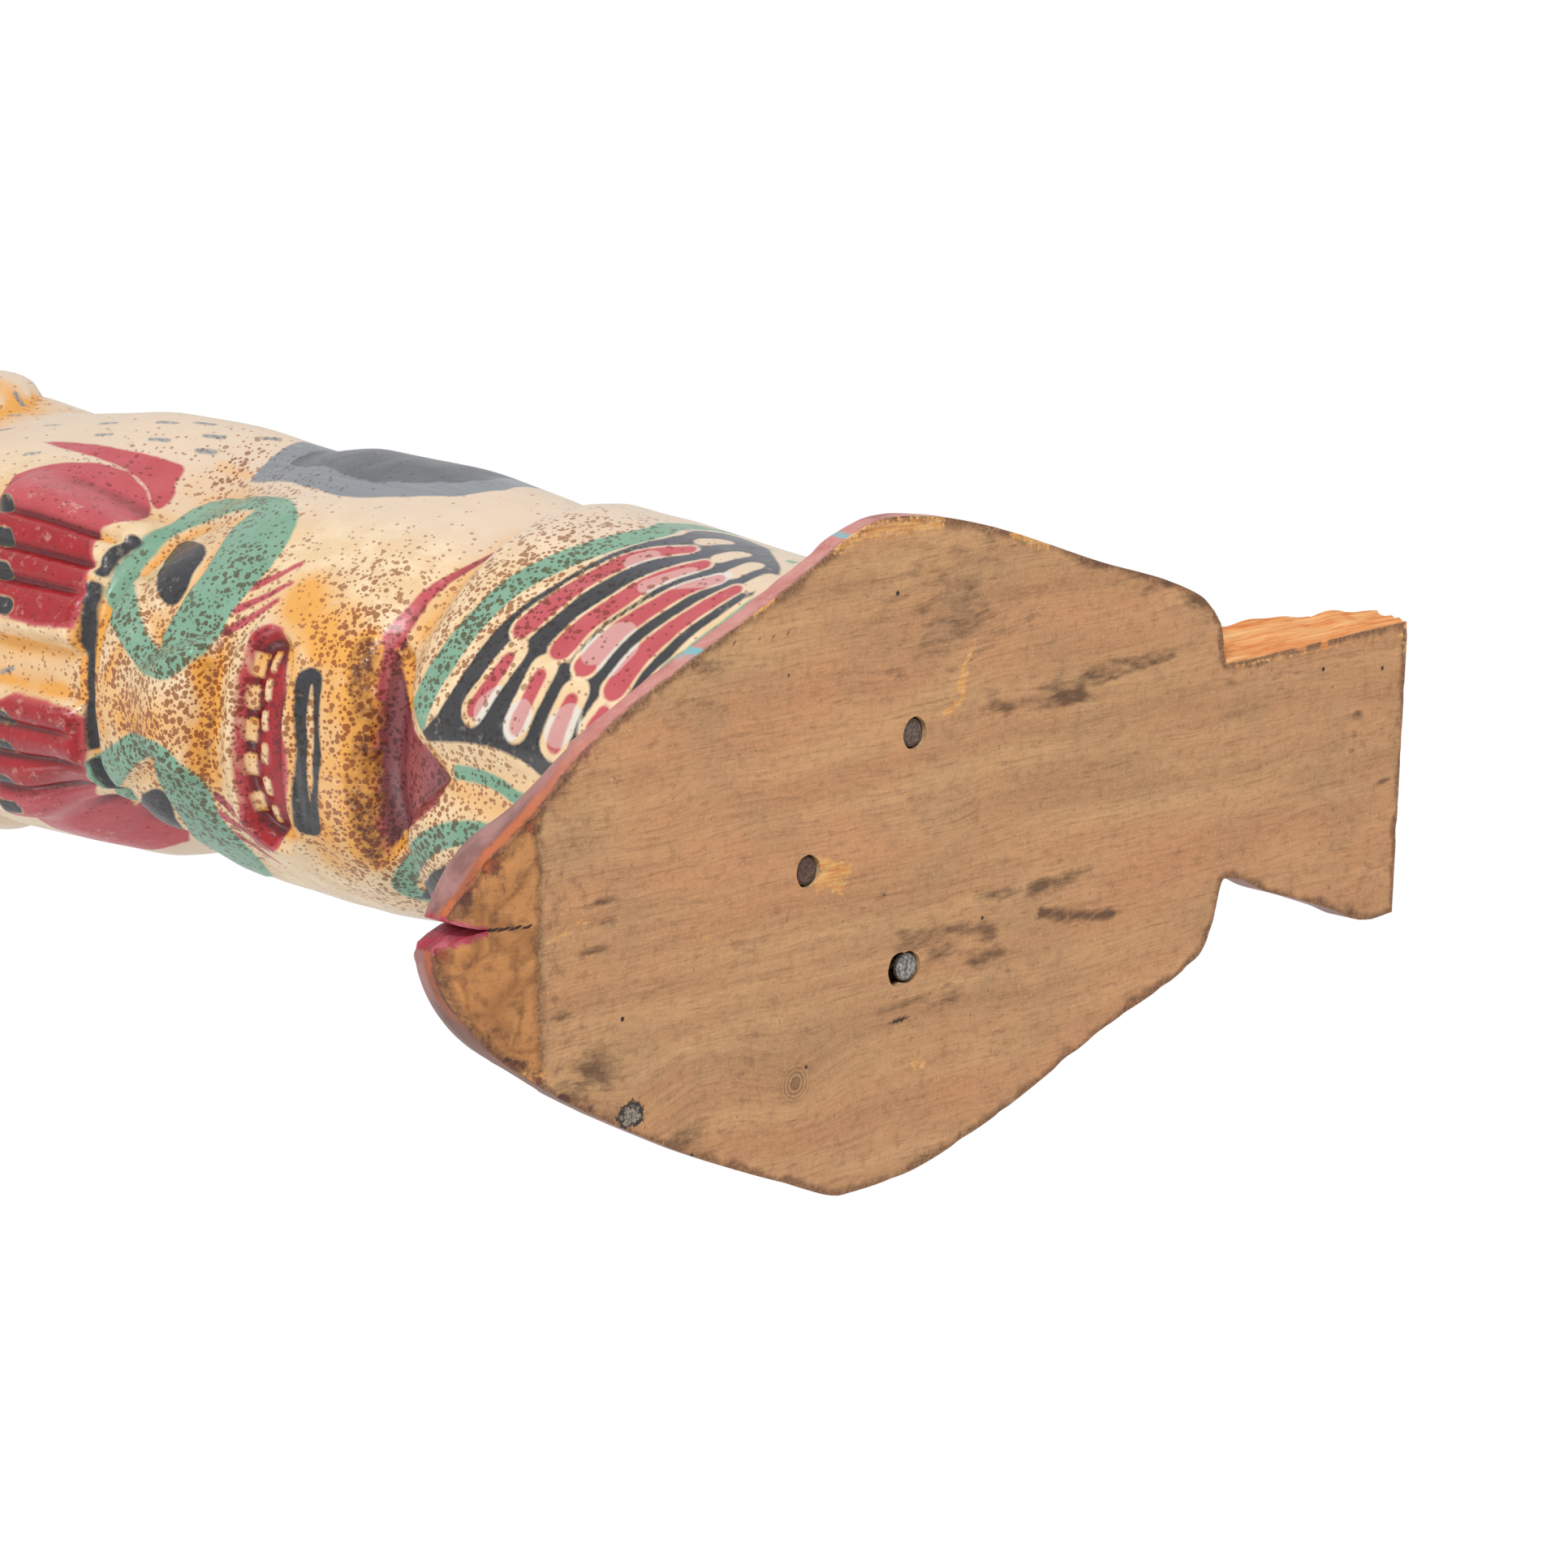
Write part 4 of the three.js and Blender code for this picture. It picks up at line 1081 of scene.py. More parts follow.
# %% The board's sizes and outline, millimetres
TIP_Y, NECK_Y, TAIL_Y = -183.5, 98.5, 175.0
BOARD_THICKNESS, TAIL_THICKNESS, SNOUT_THICKNESS = 18.0, 13.0, 16.0
BREAK_X = 27.0
BEVEL_START = -157.0
LEFT_EDGE = [
    (-183.5, -9.5), (-182.5, -13), (-180.5, -18), (-177, -23.7), (-170.5, -31), (-160, -39.2),
    (-147, -47.8), (-136, -54.1), (-121, -62), (-105, -70), (-72, -84), (-50, -91.6), (-30, -90.8),
    (0, -84), (50, -66), (88, -53), (93, -47), (98.5, -32.9), (106, -34.4), (117, -39.5), (131, -44.1),
    (149, -50.5), (161.5, -55.3), (167, -55.8), (175, -55.3),
]
RIGHT_EDGE = [
    (-183.5, -3), (-182, 1), (-180, 5.5), (-177.5, 10), (-171.5, 17), (-163, 23), (-155, 29), (-146, 36.5),
    (-137.5, 42.3), (-122.5, 50), (-105.5, 57.2), (-76, 69), (-60, 76.2), (-44, 83), (-34, 84.6),
    (-18, 82.8), (0, 78.6), (44, 63.4), (86, 48.5), (95.5, 39), (98.5, BREAK_X), (175, BREAK_X + 1.5),
]
stations = np.unique(np.concatenate([
    np.arange(TIP_Y, -170, 0.5), np.arange(-170, 84, 1.7), np.arange(84, 101, 0.6),
    np.arange(101, TAIL_Y, 1.5), [NECK_Y, TAIL_Y],
]).round(4))
UNDER_POINTS, SIDE_POINTS, TOP_POINTS = 84, 22, 40
print(len(stations), "sections of", UNDER_POINTS + 2 * SIDE_POINTS + TOP_POINTS, "points")

# %% [markdown]
# One section is a closed loop of points: along the underside, up the rounded edge, back over the top and
# down the other edge. Past the neck the +X edge isn't rounded any more, because the tail has split there.
# The underside rises under the snout, where it was gouged to a bevel.

# %% Sections of the board
BEVEL_RISE, LIP_RISE, LIP_LENGTH = 3.5, 4.5, 7.0
TAIL_SKEW = 0.048


def rough(x, y, z, stretch=(1.0, 1.0, 1.0), seed=0.0):
    """Smooth noise between about -1 and 1, at points given in its own wavelengths."""
    return np.array([
        noise.noise(Vector((a * stretch[0] + seed, b * stretch[1], c * stretch[2])))
        for a, b, c in zip(np.ravel(x), np.ravel(y), np.ravel(z))
    ]).reshape(np.shape(x))


def under_height(y):
    """How high the underside lies: a bevel under the snout, and a lip at its very tip."""
    bevel = BEVEL_RISE * np.maximum(0, (BEVEL_START - y) / (BEVEL_START - TIP_Y))
    return bevel + LIP_RISE * (1 - smooth(TIP_Y, TIP_Y + LIP_LENGTH, y))


def unskewed(x, y):
    """The place along the board before the tail's end was sawn askew."""
    return y - TAIL_SKEW * smooth(NECK_Y, TAIL_Y, y) * x


def board_section(y):
    left, right = float(along(LEFT_EDGE, y)), float(along(RIGHT_EDGE, y))
    tail = smooth(NECK_Y - 12, NECK_Y + 6, y)
    snout = 1 - smooth(TIP_Y, BEVEL_START, y)
    narrow = 1 - smooth(-167, -142, y)
    body_thickness = BOARD_THICKNESS + (SNOUT_THICKNESS - BOARD_THICKNESS) * snout
    thickness = body_thickness * (1 - tail) + TAIL_THICKNESS * tail
    edge = (6 + 6 * snout) * (1 - tail) + 10 * tail
    bottom = under_height(y)
    broken = smooth(NECK_Y - 2, NECK_Y + 1, y)
    share = (y - NECK_Y) / (TAIL_Y - NECK_Y)
    jag = 0.5 * math.sin(y * 0.21) + 0.3 * math.sin(y * 0.37 + 1)
    slant = broken * (9.5 - 6.5 * share + jag)
    roll = min(14 - 11 * narrow, (right - left) * 0.45)
    skew = TAIL_SKEW * smooth(NECK_Y, TAIL_Y, y)
    under_x = left + (right - left) * np.linspace(0, 1, UNDER_POINTS)
    turn = np.linspace(0, 1, SIDE_POINTS - 4) ** 1.4
    rise = np.linspace(bottom, edge, 6)[1:]
    curve_z = edge + (thickness - edge) * np.sin(turn * math.pi / 2)
    side_z = np.concatenate([rise[:-1], curve_z])
    inward = np.concatenate([np.zeros(4), roll * turn])
    broken_z = np.linspace(bottom, thickness, SIDE_POINTS + 1)[1:]
    broken_in = -slant * (np.arange(1, SIDE_POINTS + 1) / SIDE_POINTS) ** 0.6
    right_z = side_z * (1 - broken) + broken_z * broken
    right_x = right - inward * (1 - broken) - broken_in * broken
    left_x = left + inward
    top_x = np.linspace(right_x[-1], left_x[-1], TOP_POINTS + 2)[1:-1]
    x = np.concatenate([under_x, right_x, top_x, left_x[::-1]])
    top_z = np.full(TOP_POINTS, thickness)
    z = np.concatenate([np.full(UNDER_POINTS, bottom), right_z, top_z, side_z[::-1]])
    return np.stack([x, y + skew * x, z], axis=1)


sections = np.array([board_section(y) for y in stations])
print("board sections", sections.shape)

# %% [markdown]
# The far lobe of the tail broke off along the grain, and wood never breaks smooth there. The face is a stack
# of long fibres that stop at different lengths. Noise stretched along Y gives the fibres, and a few steps
# cut it into ledges. The rim of the snout is knocked and chipped, so it loses a little wood here and there.

# %% Fibres of the break and chips of the rim
broken_part = np.zeros(sections.shape[:2])
on_break = slice(UNDER_POINTS, UNDER_POINTS + SIDE_POINTS)
past_neck = smooth(NECK_Y - 1, NECK_Y + 1, stations)
broken_part[:, on_break] = past_neck[:, None]
x, y, z = sections[..., 0], sections[..., 1], sections[..., 2]
fibres = np.zeros_like(x)
cells_at = broken_part > 0.01
fibre = rough(x[cells_at] * 0, y[cells_at] * 0.018, z[cells_at] * 1.3)
ledge = np.round(rough(x[cells_at] * 0, y[cells_at] * 0.02, z[cells_at] * 0.45, seed=9.0) * 4) / 4
fibres[cells_at] = 0.5 * fibre + 1.6 * ledge
height_share = np.clip(z / TAIL_THICKNESS, 0, 1)
sections[..., 0] -= broken_part * np.clip(1.2 - fibres, 0, 4) * np.minimum(1, height_share * 5)

outline = np.vstack([
    np.stack([along(LEFT_EDGE, stations), stations], axis=1),
    np.stack([along(RIGHT_EDGE, stations), stations], axis=1)[::-1],
])
x, y = sections[..., 0], sections[..., 1]
rim_distance = outline_distance(x, unskewed(x, y), outline)
near_rim = np.clip(1 - np.abs(rim_distance + 1.0) / 4.5, 0, 1) * (sections[..., 2] < 9)
chip = np.zeros_like(x)
chipped = near_rim > 0
chip[chipped] = rough(x[chipped] * 0.16, y[chipped] * 0.16, sections[..., 2][chipped] * 0.1, seed=4.0)
snout_wear = 0.35 + 0.65 * (1 - smooth(-165, -120, stations))[:, None]
sections[..., 2] += near_rim * snout_wear * np.clip(chip - 0.05, 0, 1) * 3.6
print("chipped points", int(chipped.sum()))

# %% [markdown]
# A closed skin over the sections gives the board: neighbouring loops are joined by quads, and a fan closes
# either end. Every point is then held inside the solid's box, as at the pole.

# %% Skin of the board
def closed_mesh(name, rings):
    """A closed skin over rings of points, with a fan at either end."""
    count, around = rings.shape[:2]
    index = np.arange(count * around).reshape(count, around)
    following = np.roll(index, -1, axis=1)
    faces = np.stack([index[:-1], index[1:], following[1:], following[:-1]], axis=-1).reshape(-1, 4).tolist()
    ends = np.vstack([rings[0].mean(axis=0), rings[-1].mean(axis=0)])
    first, last = count * around, count * around + 1
    faces += [(int(a), int(b), first) for a, b in zip(index[0], following[0])]
    faces += [(int(b), int(a), last) for a, b in zip(index[-1], following[-1])]
    mesh = bpy.data.meshes.new(name)
    mesh.from_pydata((np.vstack([rings.reshape(-1, 3), ends]) * MM).tolist(), [], faces)
    return mesh


board_low, board_high = (np.array(c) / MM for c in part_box("base_board"))
sections = np.clip(sections, board_low, board_high)
board = new_object("fish_board", closed_mesh("fish_board", sections))
bpy.context.view_layer.update()
print("the board's skin has", len(board.data.polygons), "faces")

# %% [markdown]
# Notch and nail pockets are cut out of the skin with a Boolean, as a chisel and a drill would do it: each
# cutter is a prism over a small outline. The fourth pocket is a worn hole without a nail.

# %% Notch and nail pockets
NOTCH_X = 0.4
NOTCH_SHAPE = [(-4, 5), (0, 4), (4.5, 1.9), (9, 0.6), (12, 0.1)]
NAILS = [(27, -25, 0.6), (-3, -64, 0.5), (-35, -27, 0.2)]
WORN_HOLE = (-35, -30.2, 4.5)
HEAD_HOLE_RADIUS, HEAD_HOLE_DEPTH, SHANK_HOLE_RADIUS = 4.35, 2.3, 2.1
WORN_HOLE_DEPTH = 5.1
BELOW_BOARD, ABOVE_BOARD = -1, 30
NOTCH_FROM, NOTCH_TO = -2, 22


def prism(outline_points, low, high):
    """The places and the faces of a closed prism over an outline."""
    count = len(outline_points)
    places = [(px, py, low) for px, py in outline_points] + [(px, py, high) for px, py in outline_points]
    faces = [tuple(range(count))[::-1], tuple(range(count, 2 * count))]
    faces += [(i, (i + 1) % count, count + (i + 1) % count, count + i) for i in range(count)]
    return places, faces


def circle(cx, cy, radius, count=40, wobble=0.0):
    turn = np.linspace(0, 2 * math.pi, count, endpoint=False)
    r = radius * (1 + wobble * np.sin(3 * turn + cx) + wobble * 0.6 * np.sin(7 * turn))
    return [(cx + a * math.cos(t), cy + a * math.sin(t)) for a, t in zip(r, turn)]


def cut_with(obj, parts):
    for places, faces in parts:
        tool_mesh = bpy.data.meshes.new("cutter")
        tool_mesh.from_pydata((np.array(places) * MM).tolist(), [], faces)
        tool = new_object("cutter", tool_mesh)
        cutting = obj.modifiers.new("cut", "BOOLEAN")
        cutting.operation = "DIFFERENCE"
        cutting.object = tool
        cutting.solver = "MANIFOLD"
        evaluated = obj.evaluated_get(bpy.context.evaluated_depsgraph_get())
        done = bpy.data.meshes.new_from_object(evaluated)
        obj.modifiers.clear()
        obj.data = done
        bpy.data.objects.remove(tool)


notch_side = [(NOTCH_X - half, TIP_Y + d) for d, half in NOTCH_SHAPE]
notch_back = [(NOTCH_X + half, TIP_Y + d) for d, half in NOTCH_SHAPE[::-1]]
pockets = [prism((notch_side + notch_back)[::-1], NOTCH_FROM, NOTCH_TO)]
for nail_x, nail_y, sunk in NAILS:
    head_outline = circle(nail_x, nail_y, HEAD_HOLE_RADIUS, wobble=0.02)
    pockets.append(prism(head_outline, BELOW_BOARD, sunk + HEAD_HOLE_DEPTH))
    pockets.append(prism(circle(nail_x, nail_y, SHANK_HOLE_RADIUS, 20), BELOW_BOARD, ABOVE_BOARD))
pockets.append(prism(circle(*WORN_HOLE, wobble=0.03), BELOW_BOARD, WORN_HOLE_DEPTH))
cut_with(board, pockets)
print("fish_board", len(board.data.polygons), "faces")

# %% [markdown]
# Where a point lies tells what it shows: raw wood below, thin old paint on the rounded edges, fresh torn
# wood at the break, crimson in the notch. So we write those places down as numbers, and add the marks of use
# that the underside really has: dirt, a crack, two knots, wood torn beside the nails, drips of turquoise.

# %% Numbers for the board's finish
places = np.empty(len(board.data.vertices) * 3)
board.data.vertices.foreach_get("co", places)
bx, by, bz = (places.reshape(-1, 3) / MM).T
skewed = unskewed(bx, by)
rim = outline_distance(bx, skewed, outline)
up = bz - under_height(by)
notch_half = np.interp(by - TIP_Y, *np.array(NOTCH_SHAPE).T, right=-9)
notch_wall = np.where(by < TIP_Y + 12.5, np.abs(bx - NOTCH_X) - notch_half, 9.0)
pit = np.minimum.reduce([np.hypot(bx - nx, by - ny) - 4.5 for nx, ny, _ in NAILS]
                        + [np.hypot(bx - WORN_HOLE[0], by - WORN_HOLE[1]) - 4.7])
pit = np.where(up > 0.3, pit, np.maximum(pit, 0.3))
torn_side = smooth(25.0, 26.2, bx) * smooth(NECK_Y - 0.5, NECK_Y + 0.5, skewed) * smooth(0.05, 0.5, up)
torn_side = torn_side * (bz < TAIL_THICKNESS + 1)
print("board points", len(bx), "of them in the notch", int((notch_wall < 0.5).sum()))

# %% [markdown]
# Each mark is named by the pixel where the photograph shows it, with a size and a strength. Spots are soft
# ovals, and the others are strokes. Noise in the shader gives them their frayed edges.

# %% Dirt, torn wood, cracks and drips of the underside
DIRT = [
    ((1190, 760), 15, 20, 0.5), ((1170, 740), 22, 32, 0.42), ((1225, 870), 4, 8, 0.6),
    ((1330, 840), 2.0, 20, 0.9), ((1400, 812), 1.6, 14, 0.8), ((1325, 860), 2.2, 13, 0.85),
    ((1290, 868), 2.2, 8, 0.7), ((1130, 720), 4, 14, 0.35), ((1300, 1090), 4.5, 16, 0.4),
    ((1335, 1135), 3.0, 9, 0.4), ((1160, 1165), 5.0, 12, 0.6), ((1215, 1180), 4, 12, 0.65),
    ((1150, 1235), 5.0, 9, 0.6), ((730, 1325), 7.0, 12, 0.75), ((700, 1335), 4.0, 8, 0.6),
    ((850, 1400), 5, 18, 0.6), ((640, 1240), 12, 3, 0.3), ((672, 1060), 4, 4, 0.45),
    ((745, 1110), 1.4, 7, 0.8), ((750, 1135), 1.2, 6, 0.7), ((735, 1170), 1.4, 6, 0.7),
    ((755, 1085), 1.2, 6, 0.6), ((690, 1120), 1.2, 7, 0.5), ((700, 1250), 2.0, 8, 0.4),
    ((730, 1290), 2.0, 9, 0.5), ((1150, 690), 2.2, 12, 0.4), ((1345, 695), 2.0, 14, 0.7),
    ((1430, 720), 2.4, 12, 0.7), ((1480, 745), 2.4, 6, 0.6), ((1300, 960), 3, 30, 0.2),
    ((1230, 1290), 8, 8, 0.3), ((1240, 940), 2, 5, 0.4), ((1518, 840), 1.5, 4, 0.6),
    ((1582, 830), 3.0, 7, 0.5), ((1673, 880), 1.6, 2.6, 0.7), ((1668, 905), 2.2, 2.2, 0.7),
    ((1666, 925), 1.8, 2.0, 0.6), ((1706, 962), 1.2, 4, 0.8), ((1690, 1075), 5, 9, 0.4),
    ((925, 1310), 9, 8, 0.3), ((870, 822), 5, 8, 0.55), ((1000, 1240), 10, 18, 0.22),
    ((850, 1200), 14, 26, 0.2), ((860, 870), 9, 20, 0.2), ((1030, 690), 5, 9, 0.3),
]

DIRT_STROKES = [
    ([(1200, 1107), (1262, 1098), (1343, 1072)], 3.5, 0.75), ([(1270, 1098), (1320, 1080)], 5.0, 0.9),
    ([(1283, 1125), (1320, 1128), (1368, 1128)], 4.0, 1.0),
    ([(1116, 1160), (1170, 1150), (1222, 1148)], 9.0, 0.62),
    ([(1235, 872), (1300, 858), (1350, 843)], 2.6, 0.75), ([(1340, 845), (1449, 807)], 2.2, 0.85),
    ([(1384, 689), (1481, 746)], 5.0, 0.55), ([(1060, 1245), (1150, 1225)], 3.0, 0.5),
]


def board_spots(spots):
    total = np.zeros_like(bx)
    for pixel, half_x, half_y, strength in spots:
        px, py = on_board([pixel])[0]
        total = np.maximum(total, strength * np.exp(-((bx - px) / half_x) ** 2 - ((by - py) / half_y) ** 2))
    return total


def board_strokes(strokes):
    total = np.zeros_like(bx)
    for path, width, strength in strokes:
        d = stroke_distance(bx, by, on_board(path), 0.1)
        total = np.maximum(total, strength * np.exp(-np.maximum(d, 0) ** 2 / (width / 2) ** 2))
    return total


TORN = [
    ([(1145, 885), (1161, 883), (1188, 860), (1184, 836), (1198, 795)], 1.9, 1.0),
    ([(1190, 832), (1182, 848)], 3, 0.9), ([(1008, 1062), (1028, 1068), (1044, 1072)], 4.0, 1.0),
    ([(1006, 1082), (1026, 1084), (1036, 1094)], 4.0, 1.0), ([(1010, 1094), (1004, 1098)], 3.0, 0.8),
    ([(655, 1325), (668, 1330)], 4.0, 0.9), ([(1110, 1175), (1118, 1215)], 1.5, 0.4),
    ([(672, 1163), (730, 1135)], 1.0, 0.6), ([(1032, 672), (1060, 655), (1160, 642)], 7, 0.7),
    ([(890, 768), (912, 764)], 3, 0.8), ([(930, 755), (952, 742)], 3.0, 0.8),
    ([(1250, 655), (1290, 670)], 5, 0.8), ([(1125, 1312), (1140, 1310)], 4, 0.7),
    ([(860, 1145), (880, 1160)], 2.5, 0.5), ([(1530, 820), (1700, 786)], 1.3, 0.6),
    ([(1725, 785), (1735, 800)], 5, 0.55), ([(1735, 860), (1728, 960)], 1.6, 0.8),
    ([(665, 1168), (724, 1129)], 0.9, 0.6), ([(865, 1269), (858, 1326)], 1.2, 0.5),
    ([(856, 1154), (918, 1211)], 1.0, 0.42),
]
CRACKS = [
    ([(588, 1150), (612, 1148), (655, 1142)], 0.9, 1.0), ([(872, 798), (920, 790), (980, 778)], 0.9, 0.6),
    ([(1085, 1262), (1140, 1250)], 0.7, 0.7), ([(1100, 1230), (1160, 1222)], 0.7, 0.5),
]
DRIPS = [
    ([(974, 712), (984, 708)], 1.4, 1.0), ([(902, 766), (914, 762)], 1.6, 1.0),
    ([(850, 810), (868, 800)], 2.2, 1.0), ([(1046, 664), (1054, 656)], 1.2, 0.6),
]
print("marks", len(DIRT) + len(DIRT_STROKES), "of dirt,", len(TORN), "of torn wood,", len(CRACKS), "cracks")

# %% [markdown]
# Everything goes onto the mesh under a name, as at the pole. The knots are plain distances, because the
# shader draws their rings from them and bends the grain round them.

# %% Knots and all numbers of the board
KNOTS = [(777, 1375), (980, 1335)]
knots = [np.hypot(bx - kx, by - ky) for kx, ky in on_board(KNOTS)]
board_numbers = {
    "rim": rim, "up": up, "notch": notch_wall, "pit": pit, "broken": torn_side,
    "dirt": np.maximum(board_spots(DIRT), board_strokes(DIRT_STROKES)),
    "torn": board_strokes(TORN), "crack": board_strokes(CRACKS), "drip": board_strokes(DRIPS),
    "knot": np.minimum(*knots), "grey_knot": board_spots([(KNOTS[0], 3.0, 4.2, 1.0)]),
    "ringed": (knots[1] < knots[0]).astype(float),
}
for name, values in board_numbers.items():
    write_number(board.data, name, values)
shade_smooth(board.data, 42)
print("numbers of the board", list(board_numbers))

# %% [markdown]
# Raw softwood that lay on a floor for decades: broad bands of summer and winter wood along Y, thin dark
# pores and grey weather. Each is one noise, stretched along the grain by a different amount. The grain also
# bends a little, and more so where it runs round a knot, so we push the place before the noise reads it.

# %% Grain of the raw wood
wood = Recipe("weathered_softwood")


def pushed(place, push_x):
    push = wood.add("ShaderNodeCombineXYZ", {"X": push_x}).outputs[0]
    return wood.add("ShaderNodeVectorMath", {0: place, 1: push}, operation="ADD").outputs[0]


bent = pushed(wood.place, wood.ramp(wood.clouds(60, 2), 0, 1, -0.0035, 0.0035))
bent = pushed(bent, wood.ramp(wood.number("knot"), 0, 22, 0.006, 0.0))


def along_grain(shrink_x, shrink_y):
    return wood.add("ShaderNodeMapping", {"Vector": bent, "Scale": (shrink_x, shrink_y, 1.0)}).outputs[0]


bands = wood.clouds(9, 3, 0.5, along_grain(1, 0.07))
wide_bands = wood.clouds(30, 2, 0.5, along_grain(1, 0.16))
pores = wood.clouds(0.9, 3, 0.6, along_grain(1, 0.11))
long_pores = wood.clouds(1.6, 4, 0.65, along_grain(1, 0.05))
blotch = wood.clouds(38, 4, 0.6)
wool = wood.clouds(1.0, 4, 0.7)
raw = wood.mixed(wood.ramp(bands, 0.35, 0.68), paint(188, 138, 96), paint(220, 170, 120))
raw = wood.mixed(wood.ramp(wide_bands, 0.42, 0.64, 0, 0.7), raw, paint(210, 148, 104))
raw = wood.mixed(wood.ramp(blotch, 0.48, 0.72, 0, 0.6), raw, paint(172, 138, 102))
warm = wood.clouds(26, 3, 0.6, along_grain(1, 0.5))
raw = wood.mixed(wood.ramp(warm, 0.54, 0.72, 0, 0.5), raw, paint(222, 174, 122))
raw = wood.mixed(wood.ramp(pores, 0.5, 0.75, 0, 0.55), raw, paint(152, 110, 74))
raw = wood.mixed(wood.ramp(long_pores, 0.54, 0.72, 0, 0.5), raw, paint(152, 108, 72))
raw = wood.mixed(wood.ramp(wool, 0.5, 0.75, 0, 0.45), raw, paint(232, 190, 140))
short_flecks = wood.clouds(2.0, 3, 0.55, along_grain(1, 0.28))
raw = wood.mixed(wood.ramp(short_flecks, 0.67, 0.74, 0, 0.5), raw, paint(134, 94, 62))
print("grain made of", len(wood.tree.nodes), "nodes")

# %% [markdown]
# Under the snout the board was cut back with a gouge. A cell pattern pushed about by noise gives its shallow
# scoops: each cell has its own tone, and the ridges between the cells are dark. A dirty step marks where
# the gouged part begins.

# %% The gouged bevel
bare_cut = wood.mixed(wood.clouds(14, 3), paint(186, 122, 70), paint(212, 152, 92))
gouge_push = {"Vector": wood.place, "Scale": 90.0, "Detail": 2.0}
gouge_noise = wood.add("ShaderNodeTexNoise", gouge_push).outputs["Color"]
gouge_inputs = {0: gouge_noise, 1: (0.012, 0.012, 0.0), 2: wood.place}
gouge_place = wood.add("ShaderNodeVectorMath", gouge_inputs, operation="MULTIPLY_ADD").outputs[0]
gouge_colour = wood.cells(14, gouge_place).outputs["Color"]
gouge_tone = wood.add("ShaderNodeSeparateColor", {0: gouge_colour}).outputs[0]
bare_cut = wood.mixed(wood.ramp(gouge_tone, 0, 1, 0, 0.4), bare_cut, paint(206, 144, 92))
gouge_edge = wood.cells(14, gouge_place, "DISTANCE_TO_EDGE").outputs["Distance"]
bare_cut = wood.mixed(wood.ramp(gouge_edge, 0.0, 0.1, 0.55, 0), bare_cut, paint(132, 82, 44))
axes = wood.add("ShaderNodeSeparateXYZ", {0: wood.place}).outputs
y_place = axes["Y"]
bevel_edge = wood.sum("MULTIPLY_ADD", wood.clouds(7, 3), 0.006, BEVEL_START * MM - 0.003)
on_bevel = wood.ramp(wood.sum("SUBTRACT", y_place, bevel_edge), 0.0006, -0.0006)
raw = wood.mixed(on_bevel, raw, bare_cut)
step_line = wood.ramp(wood.sum("ABSOLUTE", wood.sum("SUBTRACT", y_place, bevel_edge)), 0.0022, 0.0, 0, 1)
step_dirt = wood.sum("MULTIPLY", step_line, wood.ramp(wool, 0.35, 0.6, 0.15, 0.8))
raw = wood.mixed(step_dirt, raw, paint(98, 72, 50))
print("with the bevel", len(wood.tree.nodes), "nodes")

# %% [markdown]
# Now the marks. Every number from the mesh is a smooth hill, and adding noise before it is cut makes its
# border ragged. The greasy rim, the rings of one knot and the grey core of the other work the same way.

# %% Dirt, knots and torn places
patchy = wood.ramp(wood.clouds(4, 5, 0.68, along_grain(1, 0.3)), 0.3, 0.7, -0.42, 0.42)
grime = wood.ramp(wood.sum("ADD", wood.number("dirt"), patchy), 0.3, 0.85, 0, 0.82)
raw = wood.mixed(grime, raw, paint(88, 62, 44))
rim_noise = wood.ramp(wood.clouds(9, 4, 0.6), 0.3, 0.7, -1.6, 1.6)
at_rim = wood.ramp(wood.sum("ADD", wood.number("rim"), rim_noise), -2.4, -0.6)
at_rim = wood.sum("MULTIPLY", at_rim, wood.ramp(wool, 0.35, 0.6, 0.35, 0.9))
raw = wood.mixed(at_rim, raw, paint(112, 76, 54))
from_knot = wood.sum("ADD", wood.number("knot"), wood.ramp(bands, 0, 1, -1, 1))
rings = wood.sum("SINE", wood.sum("MULTIPLY", from_knot, 5.2))
ring_share = wood.sum("MULTIPLY", wood.ramp(wood.number("knot"), 6.5, 3.0), wood.number("ringed"))
ring_share = wood.sum("MULTIPLY", ring_share, wood.ramp(rings, -0.2, 0.9, 0, 0.65))
raw = wood.mixed(ring_share, raw, paint(116, 88, 60))
core = wood.sum("MULTIPLY", wood.ramp(wood.number("knot"), 2.2, 0.9, 0, 0.7), wood.number("ringed"))
raw = wood.mixed(core, raw, paint(104, 80, 58))
frayed = wood.sum("ADD", wood.number("grey_knot"), wood.ramp(wood.clouds(2.2, 4, 0.7), 0.3, 0.7, -0.3, 0.3))
raw = wood.mixed(wood.ramp(frayed, 0.22, 0.36), raw, paint(58, 48, 44))
grey_core = wood.mixed(wood.ramp(wool, 0.4, 0.6), paint(92, 84, 78), paint(176, 164, 146))
raw = wood.mixed(wood.ramp(frayed, 0.48, 0.62), raw, grey_core)
dots = wood.cells(15)
dot_luck = wood.add("ShaderNodeSeparateColor", {0: dots.outputs["Color"]}).outputs[0]
dot_shape = wood.ramp(dots.outputs["Distance"], 0.055, 0.03)
dot = wood.sum("MULTIPLY", wood.sum("LESS_THAN", dot_luck, 0.42), dot_shape)
raw = wood.mixed(dot, raw, paint(48, 42, 40))
torn_noise = wood.ramp(wood.clouds(1.6, 4, 0.7), 0.3, 0.7, -0.45, 0.3)
torn = wood.ramp(wood.sum("ADD", wood.number("torn"), torn_noise), 0.35, 0.6)
torn_wood = wood.mixed(wood.ramp(pores, 0.4, 0.6), paint(240, 188, 122), paint(222, 150, 82))
raw = wood.mixed(torn, raw, torn_wood)
